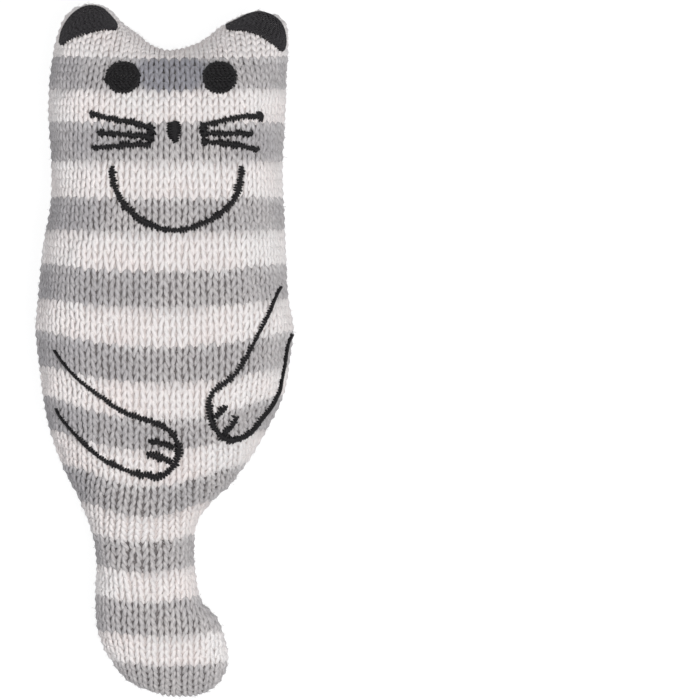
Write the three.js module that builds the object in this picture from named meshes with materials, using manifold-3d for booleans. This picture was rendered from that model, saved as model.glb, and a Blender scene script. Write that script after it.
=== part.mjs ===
import * as THREE from 'three';
import * as BufferGeometryUtils from 'three/addons/utils/BufferGeometryUtils.js';
import Module from 'manifold-3d';

// A striped knitted cat, stuffed and filled with catnip, lying on its back.
// Millimetres. X runs across the toy, Y from the tail to the ears and Z out of its face.
// Two knitted panels are sewn together inside out along their outline, turned and stuffed.

const wasm = await Module();
wasm.setup();

// Lengths along the toy, one after the other from the tip of the tail
const TAIL_LENGTH = 39.3;
const TRUNK_LENGTH = 67;
const HEAD_LENGTH = 33.7;
const EAR_HEIGHT = 9.9;

// Widths across the toy
const TAIL_WIDTH = 21.8;
const HIP_WIDTH = 56.2;
const HEAD_WIDTH = 51.6;

// The height that a very wide stretch of each panel would swell to
const FRONT_SWELL = 20;
const BACK_SWELL = 17;
const EAR_DROOP = 4;
const FLAT_DEPTH = 0.5;

// The knitted fabric and its seam
const KNIT_THICKNESS = 1.6;
const FOLD_HEIGHT = 1.3;
// The least room between the seam allowance and the fabric over it
const LEAST_ROOM = 0.9;
const SEAM_ALLOWANCE = 4;
const SEAM_GROOVE = 1.2;
const THREAD_THICKNESS = 0.4;
const THREAD_SINK = 0.3;
const THREAD_STEP = 1.5;
const CLOSING_LENGTH = 27;
const CLOSING_START = 40;

// Room between pieces that touch, and how far a cutting shape runs past what it cuts
const CLEARANCE = 0.3;
const STUFFING_CLEARANCE = 0.4;
const OVERRUN = 1;

// Where the filling of the head ends below the smile
const CHIN_DROP = 7;
// How far the stuffing stops short of the end of the tail, and of the dip between the ears
const TAIL_SLACK = 3.6;
const CROWN_SLACK = 3;

// The bag of catnip
const POUCH_RADIUS = 7;
const POUCH_LENGTH = 24;
const POUCH_NECK_RADIUS = 2.2;
const POUCH_FRILL_RADIUS = 3.4;
const POUCH_FRILL_LENGTH = 4;
const MUSLIN_THICKNESS = 0.6;
const TIE_THICKNESS = 0.7;

// The embroidery
const STITCH_THICKNESS = 0.7;
const EYE_DIAMETER = 7.3;
const EYE_SPACING = 20.8;
const WHISKER_WIDTH = 1.25;
const SMILE_WIDTH = 1.5;
const ARM_WIDTH = 0.9;
const TOE_WIDTH = 1.3;
const STROKE_STEP = 2.4;

// Counts and shape factors of the meshes
const COLUMNS = 14;
const ROWS = 32;
const LINING_COLUMNS = 10;
const LINING_ROWS = 20;
const ROUND_SIDES = 16;
const TIE_SIDES = 6;
const SWEEP_COUNT = 5000;
const LEAST_STEP_COUNT = 3;
const rowCrowdingShare = 0.55;
const endBendShare = 0.45;
const steepestRiseShare = 0.45;
const steepestSlantShare = 0.5;
const stitchEdgeShare = 0.45;

// Stations along the toy
const TRUNK_START = TAIL_LENGTH;
const HEAD_START = TRUNK_START + TRUNK_LENGTH;
const EAR_START = HEAD_START + HEAD_LENGTH;
const NECK = HEAD_START - CHIN_DROP;

// The outline, from the tip of the tail to the ears, as shares of the width and length of each region
const tailLeftShares = [
  [-0.144, 0.025], [-0.362, 0.082], [-0.54, 0.198], [-0.669, 0.357],
  [-0.699, 0.533], [-0.689, 0.753], [-0.738, 0.912],
];
const trunkLeftShares = [
  [-0.333, 0.048], [-0.398, 0.158], [-0.454, 0.303], [-0.48, 0.448],
  [-0.5, 0.6], [-0.488, 0.719], [-0.471, 0.868],
];
const headLeftShares = [[-0.481, 0.006], [-0.479, 0.288], [-0.49, 0.571], [-0.484, 0.801], [-0.471, 0.968]];
const earLeftShares = [[-0.45, 0.37], [-0.425, 0.674], [-0.387, 0.891], [-0.337, 1]];

const tailRightShares = [
  [0.431, 0.025], [0.55, 0.077], [0.634, 0.192], [0.609, 0.313],
  [0.52, 0.44], [0.372, 0.533], [0.317, 0.67], [0.302, 0.824], [0.337, 0.962],
];
const trunkRightShares = [
  [0.183, 0.039], [0.263, 0.1], [0.34, 0.19], [0.406, 0.287], [0.461, 0.384],
  [0.49, 0.526], [0.5, 0.603], [0.48, 0.7], [0.471, 0.835],
];
const headRightShares = [[0.504, -0.032], [0.498, 0.224], [0.507, 0.506], [0.515, 0.827]];
const earRightShares = [[0.521, 0.065], [0.515, 0.478], [0.492, 0.696], [0.45, 0.804], [0.391, 0.87]];

const tailEndShares = [[-0.144, 0.025], [0.035, 0.003], [0.193, 0], [0.332, 0.005], [0.431, 0.025]];
const earTopShares = [
  [-0.337, 1], [-0.278, 0.989], [-0.245, 0.935], [-0.211, 0.804], [-0.178, 0.609], [-0.111, 0.348],
  [-0.044, 0.087], [0.023, 0], [0.09, 0.065], [0.157, 0.217], [0.216, 0.446], [0.257, 0.587],
  [0.324, 0.761], [0.391, 0.87],
];

// The embroidery, as shares of the same regions
const leftPatchOuterShares = [
  [-0.433, 0.19], [-0.41, 0.52], [-0.362, 0.75], [-0.309, 0.835], [-0.272, 0.8],
  [-0.243, 0.7], [-0.218, 0.58], [-0.203, 0.47],
];
const leftPatchLowerShares = [
  [-0.43, 0.11], [-0.405, 0.2], [-0.357, 0.3], [-0.309, 0.367], [-0.265, 0.424], [-0.205, 0.42],
];
const rightPatchOuterShares = [
  [0.257, 0.5], [0.295, 0.587], [0.337, 0.674], [0.379, 0.75], [0.411, 0.75],
  [0.45, 0.67], [0.475, 0.58], [0.489, 0.44], [0.493, 0.283], [0.492, 0.08],
];
const rightPatchLowerShares = [
  [0.259, 0.42], [0.315, 0.417], [0.36, 0.37], [0.401, 0.283], [0.449, 0.117], [0.486, -0.02],
];
const eyeShares = { across: 0.031, along: 0.814 };
const noseLeftShares = [[0.0117, 0.5281], [0.0113, 0.4744], [0.0301, 0.4218], [0.0494, 0.3987]];
const noseRightShares = [[0.0733, 0.5281], [0.0737, 0.4744], [0.0649, 0.4218], [0.0555, 0.3987]];
const whiskerShares = {
  left_whisker_upper: [[-0.309, 0.58], [-0.21, 0.543], [-0.129, 0.521], [-0.056, 0.487]],
  left_whisker_middle: [[-0.278, 0.457], [-0.17, 0.446], [-0.04, 0.428]],
  left_whisker_lower: [[-0.298, 0.359], [-0.17, 0.377], [-0.058, 0.382]],
  right_whisker_upper: [[0.16, 0.505], [0.253, 0.536], [0.334, 0.563], [0.41, 0.566]],
  right_whisker_middle: [[0.15, 0.453], [0.26, 0.453], [0.369, 0.453]],
  right_whisker_lower: [[0.164, 0.397], [0.27, 0.388], [0.393, 0.349]],
};
const smileShares = [
  [-0.2185, 0.241], [-0.203, 0.098], [-0.1653, -0.0026], [-0.0904, -0.1026], [0.0029, -0.1596],
  [0.059, -0.1667], [0.1524, -0.1308], [0.2457, -0.0449], [0.3018, 0.0551], [0.3202, 0.1692],
  [0.3253, 0.241],
];
const leftArmShares = [
  [-0.4197, 0.531], [-0.3805, 0.4848], [-0.3217, 0.4323], [-0.2433, 0.3829], [-0.1845, 0.3465],
  [-0.0865, 0.3103], [-0.0392, 0.3006], [0.0119, 0.2774], [0.043, 0.2477], [0.0588, 0.2084],
  [0.0469, 0.1723], [0.0196, 0.1426], [-0.0158, 0.1261], [-0.0669, 0.1294], [-0.1257, 0.1394],
  [-0.2237, 0.1755], [-0.2825, 0.2116], [-0.3413, 0.2613], [-0.4001, 0.3203], [-0.4139, 0.3432],
];
const rightArmShares = [
  [0.4458, 0.7348], [0.4301, 0.7087], [0.4039, 0.6532], [0.3862, 0.6235], [0.3463, 0.5574],
  [0.289, 0.4719], [0.2537, 0.4387], [0.214, 0.4126], [0.1829, 0.3903], [0.1745, 0.3532],
  [0.1764, 0.3161], [0.1964, 0.2794], [0.2229, 0.2532], [0.2583, 0.2419], [0.3021, 0.2497],
  [0.3463, 0.2755], [0.3816, 0.3129], [0.4124, 0.3571], [0.4389, 0.4052], [0.4566, 0.4571],
  [0.4701, 0.5126], [0.4789, 0.5532], [0.4854, 0.5829],
];
const toeShares = {
  left_toe_upper: [[-0.0569, 0.2348], [-0.0365, 0.2387], [-0.0019, 0.229], [0.029, 0.2226]],
  left_toe_lower: [[-0.0669, 0.1968], [-0.0234, 0.1887], [0.0144, 0.1745]],
  right_toe_upper: [[0.2406, 0.3532], [0.222, 0.334], [0.2064, 0.3226]],
  right_toe_lower: [[0.2802, 0.32], [0.2583, 0.2829], [0.2371, 0.2665]],
};

const region = (width, start, length) => ([across, along]) =>
  new THREE.Vector3(across * width, start + along * length, 0);
const onTail = region(TAIL_WIDTH, 0, TAIL_LENGTH);
const onTrunk = region(HIP_WIDTH, TRUNK_START, TRUNK_LENGTH);
const onHead = region(HEAD_WIDTH, HEAD_START, HEAD_LENGTH);
const onEars = region(HEAD_WIDTH, EAR_START, EAR_HEIGHT);
const smooth = (points) => new THREE.CatmullRomCurve3(points, false, 'centripetal');

const leftEdge = smooth([
  ...tailLeftShares.map(onTail), ...trunkLeftShares.map(onTrunk),
  ...headLeftShares.map(onHead), ...earLeftShares.map(onEars),
]);
const rightEdge = smooth([
  ...tailRightShares.map(onTail), ...trunkRightShares.map(onTrunk),
  ...headRightShares.map(onHead), ...earRightShares.map(onEars),
]);
const tailEdge = smooth(tailEndShares.map(onTail));
const earEdge = smooth(earTopShares.map(onEars));

// The flat pattern of a panel: rows of points between the left and right edges,
// bent near their ends to follow the ears and the end of the tail
function patternPoint(u, v) {
  const point = leftEdge.getPointAt(v).lerp(rightEdge.getPointAt(v), u);
  for (const [edge, nearness] of [[earEdge, v], [tailEdge, 1 - v]]) {
    const pull = THREE.MathUtils.smoothstep(nearness, 1 - endBendShare, 1);
    const chord = edge.getPointAt(0).lerp(edge.getPointAt(1), u);
    point.add(edge.getPointAt(u).sub(chord).multiplyScalar(pull));
  }
  return point;
}

const range = (count) => Array.from({ length: count }, (_, index) => index);
const steps = (count) => range(count + 1).map((index) => index / count);
const crowdEnds = (share) => (1 - Math.cos(Math.PI * share)) / 2;
const crowdRows = (share) => THREE.MathUtils.lerp(share, crowdEnds(share), rowCrowdingShare);
const columnKnots = steps(COLUMNS).map(crowdEnds);
const rowKnots = steps(ROWS).map(crowdRows);
const pattern = rowKnots.map((v) => columnKnots.map((u) => patternPoint(u, v)));

// The two triangles of each cell of a grid with so many rows and columns of points
function gridTriangles(rows, columns) {
  return range(rows - 1).flatMap((row) => range(columns - 1).flatMap((column) => {
    const corner = row * columns + column;
    return [
      [corner, corner + 1, corner + columns + 1],
      [corner, corner + columns + 1, corner + columns],
    ];
  }));
}

// Blows up the pattern like a soap film held at the seam. The result at each point is the
// square of the height of a film that arches as a circle over a long strip.
function inflate(grid) {
  const points = grid.flat();
  const links = points.map(() => new Map());
  const load = points.map(() => 0);
  for (const triangle of gridTriangles(grid.length, grid[0].length)) {
    const [a, b, c] = triangle.map((index) => points[index]);
    const sides = [c.clone().sub(b), a.clone().sub(c), b.clone().sub(a)];
    const area = sides[0].clone().cross(sides[1]).length() / 2;
    triangle.forEach((from, i) => {
      load[from] += area / 3;
      triangle.forEach((to, j) => {
        links[from].set(to, (links[from].get(to) ?? 0) + sides[i].dot(sides[j]) / (4 * area));
      });
    });
  }
  const width = grid[0].length;
  const inside = points
    .map((_, index) => index)
    .filter((i) => i % width > 0 && (i + 1) % width > 0 && i >= width && i < points.length - width);
  const film = points.map(() => 0);
  for (let sweep = 0; sweep < SWEEP_COUNT; sweep += 1) {
    for (const i of inside) {
      let pull = load[i];
      for (const [j, weight] of links[i]) {
        pull -= weight * film[j];
      }
      film[i] += pull / links[i].get(i);
    }
  }
  return grid.map((row, r) => row.map((_, c) => 2 * Math.max(film[r * width + c], 0)));
}

const filmSquares = inflate(pattern);

// A field on the pattern's grid, read between its points
function locate(knots, value) {
  const last = knots.length - 2;
  const index = Math.min(Math.max(knots.findIndex((knot) => knot > value) - 1, 0), last);
  const cell = value >= knots[last] ? last : index;
  return [cell, (value - knots[cell]) / (knots[cell + 1] - knots[cell])];
}

function read(field, u, v) {
  const [column, across] = locate(columnKnots, u);
  const [row, along] = locate(rowKnots, v);
  const mix = THREE.MathUtils.lerp;
  return mix(
    mix(field[row][column], field[row][column + 1], across),
    mix(field[row + 1][column], field[row + 1][column + 1], across),
    along,
  );
}

const swell = (square, limit) => limit * (1 - Math.exp(-Math.sqrt(square) / limit));

// The seam is as high as the back is deep, so that the whole spine lies on the table.
// The ears and the end of the tail, which are thin, stay near the height of what carries them.
const spineDepths = filmSquares.map((row) => swell(Math.max(...row), BACK_SWELL));
const rowHeights = pattern.map((row) => row[COLUMNS / 2].y);
const firstSpineRow = rowHeights.findIndex((y) => y > TAIL_WIDTH / 2);
const lastSpineRow = rowHeights.findLastIndex((y) => y < EAR_START - TAIL_WIDTH / 2);
const seamHeights = spineDepths.map((_, row) => {
  const depth = spineDepths[Math.min(Math.max(row, firstSpineRow), lastSpineRow)];
  const overEars = THREE.MathUtils.smoothstep(rowHeights[row], rowHeights[lastSpineRow], EAR_START);
  return depth + FOLD_HEIGHT + CLEARANCE / 2 - FLAT_DEPTH - EAR_DROOP * overEars;
});

// The outer face of a panel: side is 1 for the front and -1 for the back
function makeFace(side, limit) {
  const rows = pattern.map((row, r) => row.map((point, c) => {
    const height = CLEARANCE / 2 + FOLD_HEIGHT + swell(filmSquares[r][c], limit);
    return new THREE.Vector3(point.x, point.y, seamHeights[r] + side * height);
  }));
  const sheet = new THREE.BufferGeometry().setFromPoints(rows.flat());
  sheet.setIndex(gridTriangles(rows.length, rows[0].length).flat());
  sheet.computeVertexNormals();
  const normals = sheet.getAttribute('normal');
  const normalRows = rows.map((row, r) => row.map((_, c) =>
    new THREE.Vector3().fromBufferAttribute(normals, r * row.length + c)));
  return { side, limit, rows, normalRows };
}

const front = makeFace(1, FRONT_SWELL);
const back = makeFace(-1, BACK_SWELL);

const acrossField = pattern.map((row) => row.map((point) => point.x));
const alongField = pattern.map((row) => row.map((point) => point.y));
const seamField = pattern.map((row, r) => row.map(() => seamHeights[r]));

// How long a column would be if all its cells were as long, for their share, as those of one row
function stretch(u, row) {
  const [low, high] = [rowKnots[row], rowKnots[row + 1]];
  const across = read(acrossField, u, high) - read(acrossField, u, low);
  const along = read(alongField, u, high) - read(alongField, u, low);
  return Math.hypot(across, along) / (high - low);
}

// A grid of points set in from the outline by a distance, each lifted by lift(u, v).
// Where an edge runs aslant, the step along the row or column grows to keep that distance.
function insetGrid(inset, lift, columns = LINING_COLUMNS, rows = LINING_ROWS) {
  const step = (edge, share, axis, span) =>
    inset / (span * Math.max(edge.getTangentAt(share)[axis], steepestSlantShare));
  return steps(rows).map(crowdRows).map((rowShare) => steps(columns).map(crowdEnds).map((columnShare) => {
    const v = THREE.MathUtils.lerp(
      step(tailEdge, columnShare, 'x', stretch(columnShare, 0)),
      1 - step(earEdge, columnShare, 'x', stretch(columnShare, ROWS - 1)),
      rowShare,
    );
    const width = read(acrossField, 1, v) - read(acrossField, 0, v);
    const u = THREE.MathUtils.lerp(
      step(leftEdge, v, 'y', width), 1 - step(rightEdge, v, 'y', width), columnShare);
    return new THREE.Vector3(read(acrossField, u, v), read(alongField, u, v), lift(u, v));
  }));
}

const fromSeam = (distance) => (u, v) => read(seamField, u, v) + distance;

// The height of a layer that lies a depth below the outer face, and never below the lowest lift
function underFace(face, depth, lowest) {
  const rise = face.normalRows.map((row) => row.map((normal) => Math.max(normal.z, steepestRiseShare)));
  return (u, v) => {
    const outer = CLEARANCE / 2 + FOLD_HEIGHT + swell(read(filmSquares, u, v), face.limit);
    const lift = Math.max(outer - depth / read(rise, u, v), lowest);
    return read(seamField, u, v) + face.side * lift;
  };
}

// A closed solid between two grids of points with as many rows and columns
function gridSolid(top, base) {
  const rows = top.length;
  const columns = top[0].length;
  const count = rows * columns;
  const faces = gridTriangles(rows, columns);
  const triangles = faces.concat(faces.map(([a, b, c]) => [c + count, b + count, a + count]));
  const at = (row, column) => row * columns + column;
  const rim = [
    ...range(columns - 1).map((step) => at(0, step)),
    ...range(rows - 1).map((step) => at(step, columns - 1)),
    ...range(columns - 1).map((step) => at(rows - 1, columns - 1 - step)),
    ...range(rows - 1).map((step) => at(rows - 1 - step, 0)),
  ];
  rim.forEach((from, index) => {
    const to = rim[(index + 1) % rim.length];
    triangles.push([from + count, to + count, to], [from + count, to, from]);
  });
  const geometry = new THREE.BufferGeometry().setFromPoints([...top.flat(), ...base.flat()]);
  geometry.setIndex(triangles.flat());
  return outward(geometry);
}

// Turns the faces of a closed geometry outwards, if they point inwards
function outward(geometry) {
  const index = geometry.getIndex().array;
  const positions = geometry.getAttribute('position');
  const corner = (place) => new THREE.Vector3().fromBufferAttribute(positions, index[place]);
  let volume = 0;
  for (let place = 0; place < index.length; place += 3) {
    volume += corner(place).dot(corner(place + 1).cross(corner(place + 2)));
  }
  if (volume < 0) {
    geometry.setIndex([...index].reverse());
  }
  return geometry;
}

// A geometry with its shared corners merged, so that its faces join
function joined(geometry) {
  const bare = geometry.clone();
  bare.deleteAttribute('normal');
  bare.deleteAttribute('uv');
  return BufferGeometryUtils.mergeVertices(bare);
}

function toSolid(geometry) {
  const { attributes, index } = joined(geometry);
  return new wasm.Manifold(new wasm.Mesh({
    numProp: 3,
    vertProperties: new Float32Array(attributes.position.array),
    triVerts: new Uint32Array(index.array),
  }));
}

function toGeometry(solid) {
  const { vertProperties, triVerts } = solid.getMesh();
  const geometry = new THREE.BufferGeometry();
  geometry.setAttribute('position', new THREE.BufferAttribute(vertProperties, 3));
  geometry.setIndex(new THREE.BufferAttribute(triVerts, 1));
  return geometry;
}

// A box over the whole width of the toy, between two stations and two heights
const HALF_REACH = HIP_WIDTH;
const TALLEST = FRONT_SWELL + BACK_SWELL;
function slice(from, to, low, high) {
  const box = new THREE.BoxGeometry(2 * HALF_REACH, to - from, high - low);
  return toSolid(box.translate(0, (from + to) / 2, (low + high) / 2));
}
const everythingBelow = (height) => slice(-OVERRUN, EAR_START + EAR_HEIGHT + OVERRUN, -TALLEST, height);

// A knitted panel with its seam allowance turned in
const FLANGE_LIFT = CLEARANCE / 2 + KNIT_THICKNESS;
function panel(face) {
  const { side } = face;
  const groove = insetGrid(SEAM_GROOVE, fromSeam(side * CLEARANCE / 2), COLUMNS, ROWS);
  const body = toSolid(gridSolid(face.rows, groove));
  const hollow = toSolid(gridSolid(
    insetGrid(KNIT_THICKNESS, underFace(face, KNIT_THICKNESS, FLANGE_LIFT + LEAST_ROOM)),
    insetGrid(KNIT_THICKNESS, fromSeam(side * FLANGE_LIFT)),
  ));
  const mouth = toSolid(gridSolid(
    insetGrid(SEAM_ALLOWANCE, fromSeam(side * (FLANGE_LIFT + OVERRUN))),
    insetGrid(SEAM_ALLOWANCE, fromSeam(-side * OVERRUN)),
  ));
  return body.subtract(hollow).subtract(mouth).subtract(everythingBelow(0));
}

// The stuffing, drawn in where the seam allowance lies between the panels
function stuffing() {
  const inset = KNIT_THICKNESS + STUFFING_CLEARANCE;
  const halves = [front, back].map((face) => toSolid(gridSolid(
    insetGrid(inset, underFace(face, inset, FLANGE_LIFT + LEAST_ROOM - CLEARANCE)),
    insetGrid(inset, fromSeam(face.side * (FLANGE_LIFT + CLEARANCE))),
  )));
  const core = toSolid(gridSolid(
    insetGrid(SEAM_ALLOWANCE + CLEARANCE, fromSeam(FLANGE_LIFT + OVERRUN)),
    insetGrid(SEAM_ALLOWANCE + CLEARANCE, fromSeam(-FLANGE_LIFT - OVERRUN)),
  ));
  return halves[0].add(halves[1]).add(core).subtract(everythingBelow(KNIT_THICKNESS + CLEARANCE));
}

const fill = stuffing();
const chunk = (from, to) => fill.intersect(slice(from, to, -TALLEST, TALLEST));
const headFilling = chunk(NECK + CLEARANCE / 2, EAR_START - CROWN_SLACK);
const tailFilling = chunk(TAIL_SLACK, TRUNK_START - CLEARANCE / 2);

// The bag of catnip lies along the middle of the trunk, with its tied neck at the chin
const POUCH_TOP = NECK - CLEARANCE;
const POUCH_BOTTOM = POUCH_TOP - POUCH_FRILL_LENGTH - POUCH_LENGTH;
const POUCH_HEIGHT = KNIT_THICKNESS + (seamHeights[lastSpineRow] + front.limit - KNIT_THICKNESS) / 2;
const bagShares = [[0, 0], [0.6, 0.03], [0.92, 0.16], [1, 0.4], [0.98, 0.66], [0.74, 0.88]];

// The bag's outline at a depth below its outer face, from its foot to its neck
function bagProfile(depth) {
  return bagShares.map(([out, up]) => new THREE.Vector2(
    out * (POUCH_RADIUS - depth), depth + up * (POUCH_LENGTH - depth)));
}

const turned = (profile) =>
  outward(joined(new THREE.LatheGeometry(profile, ROUND_SIDES)).translate(0, POUCH_BOTTOM, 0));

const pouch = turned([
  ...bagProfile(0),
  new THREE.Vector2(POUCH_NECK_RADIUS, POUCH_LENGTH),
  new THREE.Vector2(POUCH_FRILL_RADIUS, POUCH_LENGTH + POUCH_FRILL_LENGTH),
  new THREE.Vector2(POUCH_FRILL_RADIUS - MUSLIN_THICKNESS, POUCH_LENGTH + POUCH_FRILL_LENGTH),
  new THREE.Vector2(POUCH_NECK_RADIUS - MUSLIN_THICKNESS, POUCH_LENGTH),
  ...bagProfile(MUSLIN_THICKNESS).reverse(),
]);
const herbDepth = MUSLIN_THICKNESS + CLEARANCE;
const herb = turned([...bagProfile(herbDepth), new THREE.Vector2(0, POUCH_LENGTH * bagShares.at(-1)[1])]);
const roomRadius = POUCH_FRILL_RADIUS + CLEARANCE;
const room = turned([
  ...bagProfile(-CLEARANCE),
  new THREE.Vector2(roomRadius, POUCH_LENGTH - CLEARANCE),
  new THREE.Vector2(roomRadius, POUCH_LENGTH + POUCH_FRILL_LENGTH + OVERRUN),
  new THREE.Vector2(0, POUCH_LENGTH + POUCH_FRILL_LENGTH + OVERRUN),
]);
const tieRadius = POUCH_NECK_RADIUS + CLEARANCE + TIE_THICKNESS / 2;
const tie = outward(
  joined(new THREE.TorusGeometry(tieRadius, TIE_THICKNESS / 2, TIE_SIDES, ROUND_SIDES))
    .rotateX(Math.PI / 2)
    .translate(0, POUCH_BOTTOM + POUCH_LENGTH, 0));
const bodyFilling = chunk(TRUNK_START + CLEARANCE / 2, NECK - CLEARANCE / 2)
  .subtract(toSolid(room.translate(0, 0, POUCH_HEIGHT)));

// The sewing thread lies in the groove of the seam. The opening left for stuffing is on the left
// side of the trunk, and a thread of its own closes it by hand.
function seamPath() {
  const grid = insetGrid(THREAD_SINK, fromSeam(0), COLUMNS, ROWS);
  const left = grid.map((row) => row[0]);
  const right = grid.map((row) => row.at(-1));
  const top = grid.at(-1).slice(1, -1);
  const bottom = grid[0].slice(1, -1);
  const loop = [...left, ...top, ...right.reverse(), ...bottom.reverse()];
  return loop.reduce(
    (path, point) => (point.distanceTo(path.at(-1)) > THREAD_STEP ? [...path, point] : path), [loop[0]]);
}

const UP = new THREE.Vector3(0, 0, 1);
const leftOf = (direction) => direction.clone().setZ(0).normalize().applyAxisAngle(UP, Math.PI / 2);

function threadAlong(path) {
  const half = THREAD_THICKNESS / 2;
  const layerAt = (lift) => path.map((point, index) => {
    const ahead = path[Math.min(index + 1, path.length - 1)];
    const behind = path[Math.max(index - 1, 0)];
    const aside = leftOf(ahead.clone().sub(behind));
    return [-half, half].map((offset) =>
      point.clone().addScaledVector(aside, offset).addScaledVector(UP, lift));
  });
  return gridSolid(layerAt(half), layerAt(-half));
}

const seamLoop = seamPath();
const CLOSING_END = CLOSING_START + CLOSING_LENGTH;
const leftSideCount = seamLoop.findIndex((point) => point.y > EAR_START);
const inClosing = (point, index) =>
  index < leftSideCount && point.y > TRUNK_START + CLOSING_START && point.y < TRUNK_START + CLOSING_END;
const closingFirst = seamLoop.findIndex(inClosing);
const closingLast = seamLoop.findLastIndex(inClosing);
const closingPath = seamLoop.slice(closingFirst, closingLast + 1);
const shorten = (end, next) => end.clone().addScaledVector(next.clone().sub(end).normalize(), CLEARANCE);
const sewnPath = [
  shorten(seamLoop[closingLast], seamLoop[closingLast + 1]),
  ...seamLoop.slice(closingLast + 1),
  ...seamLoop.slice(0, closingFirst),
  shorten(seamLoop[closingFirst], seamLoop[closingFirst - 1]),
];

// The point and the outward direction of the front panel over a point of the pattern
const frontTriangles = gridTriangles(front.rows.length, COLUMNS + 1);
const frontPoints = front.rows.flat();
const frontNormals = front.normalRows.flat();
const flatTriangles = frontTriangles.map((triangle) =>
  new THREE.Triangle(...triangle.map((index) => frontPoints[index].clone().setZ(0))));
function onFront({ x, y }) {
  const place = new THREE.Vector3(x, y, 0);
  const shares = flatTriangles.map((flat) => flat.getBarycoord(place, new THREE.Vector3()));
  const inside = shares.map((share) => Math.min(...share));
  const nearest = inside.indexOf(Math.max(...inside));
  const blend = (list) => frontTriangles[nearest].reduce(
    (sum, index, corner) => sum.addScaledVector(list[index], shares[nearest].getComponent(corner)),
    new THREE.Vector3(),
  );
  return { point: blend(frontPoints), normal: blend(frontNormals).normalize() };
}

// Embroidery: a grid of points of the pattern, laid on the front and crowned towards its middle
function stitched(grid) {
  const lastRow = grid.length - 1;
  const places = grid.map((row) => row.map(onFront));
  const at = (lift) => places.map((row, r) => row.map(({ point, normal }, c) => {
    const atEdge = r === 0 || r === lastRow || c === 0 || c === row.length - 1;
    return point.clone().addScaledVector(normal, lift(atEdge));
  }));
  return gridSolid(
    at((atEdge) => CLEARANCE + STITCH_THICKNESS * (atEdge ? stitchEdgeShare : 1)),
    at(() => CLEARANCE),
  );
}

// A line of satin stitch of some width along a path
function stroke(points, width) {
  const path = smooth(points);
  const count = Math.max(Math.ceil(path.getLength() / STROKE_STEP), LEAST_STEP_COUNT);
  return stitched(steps(count).map((share) => {
    const aside = leftOf(path.getTangentAt(share));
    return [-width / 2, 0, width / 2].map((offset) => path.getPointAt(share).addScaledVector(aside, offset));
  }));
}

// A filled shape between two edges
function filled(firstEdge, secondEdge, along, across) {
  const first = smooth(firstEdge);
  const second = smooth(secondEdge);
  return stitched(steps(along).map((share) => steps(across).map((mixing) =>
    first.getPointAt(share).lerp(second.getPointAt(share), mixing))));
}

// A filled disc, from a square grid whose edges are pushed out to a circle
function disc(centre, diameter, cells) {
  const span = steps(cells).map((share) => 2 * share - 1);
  return stitched(span.map((b) => span.map((a) => centre.clone().add(new THREE.Vector3(
    a * Math.sqrt(1 - b * b / 2) * diameter / 2,
    b * Math.sqrt(1 - a * a / 2) * diameter / 2,
    0,
  )))));
}

// The assembly
const toy = new THREE.Group();
const KNIT_COLOR = 0xc9c3c1;
const BLACK_THREAD_COLOR = 0x2a2629;
const SEWING_THREAD_COLOR = 0xd8d3cf;
const FIBRE_COLOR = 0xf2f0ec;
const MUSLIN_COLOR = 0xe6dcc4;
const CATNIP_COLOR = 0x7d7f4f;

function add(name, geometry, color, roughness) {
  geometry.computeVertexNormals();
  const mesh = new THREE.Mesh(geometry, new THREE.MeshStandardMaterial({ color, roughness, metalness: 0 }));
  mesh.name = name;
  toy.add(mesh);
  return mesh;
}

add('front_panel', toGeometry(panel(front)), KNIT_COLOR, 0.95);
add('back_panel', toGeometry(panel(back)), KNIT_COLOR, 0.95);
add('seam_thread', threadAlong(sewnPath), SEWING_THREAD_COLOR, 0.8);
add('closing_thread', threadAlong(closingPath), SEWING_THREAD_COLOR, 0.8);
add('head_filling', toGeometry(headFilling), FIBRE_COLOR, 1);
add('body_filling', toGeometry(bodyFilling), FIBRE_COLOR, 1);
add('tail_filling', toGeometry(tailFilling), FIBRE_COLOR, 1);
for (const [name, geometry, color] of [
  ['catnip_pouch', pouch, MUSLIN_COLOR],
  ['pouch_tie', tie, SEWING_THREAD_COLOR],
  ['catnip_herb', herb, CATNIP_COLOR],
]) {
  add(name, geometry, color, 0.9).position.z = POUCH_HEIGHT;
}

const embroider = (name, geometry) => add(name, geometry, BLACK_THREAD_COLOR, 0.55);
for (const [name, outer, lower] of [
  ['left_ear_patch', leftPatchOuterShares, leftPatchLowerShares],
  ['right_ear_patch', rightPatchOuterShares, rightPatchLowerShares],
]) {
  embroider(name, filled(outer.map(onEars), lower.map(onEars), 8, 3));
}
const eyeCentre = onHead([eyeShares.across, eyeShares.along]);
for (const [name, side] of [['left_eye', -1], ['right_eye', 1]]) {
  const centre = eyeCentre.clone().add(new THREE.Vector3(side * EYE_SPACING / 2, 0, 0));
  embroider(name, disc(centre, EYE_DIAMETER, 6));
}
embroider('nose', filled(noseLeftShares.map(onHead), noseRightShares.map(onHead), 4, 2));
for (const [name, points] of Object.entries(whiskerShares)) {
  embroider(name, stroke(points.map(onHead), WHISKER_WIDTH));
}
embroider('smile', stroke(smileShares.map(onHead), SMILE_WIDTH));
embroider('left_arm_outline', stroke(leftArmShares.map(onTrunk), ARM_WIDTH));
embroider('right_arm_outline', stroke(rightArmShares.map(onTrunk), ARM_WIDTH));
for (const [name, points] of Object.entries(toeShares)) {
  embroider(name, stroke(points.map(onTrunk), TOE_WIDTH));
}

// The origin is under the middle of the toy, on the table
const extent = new THREE.Box3().setFromPoints(pattern.flat());
const middle = extent.getCenter(new THREE.Vector3());
toy.position.set(-middle.x, -middle.y, 0);

export default toy;
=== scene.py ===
import math
from functools import partial

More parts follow.
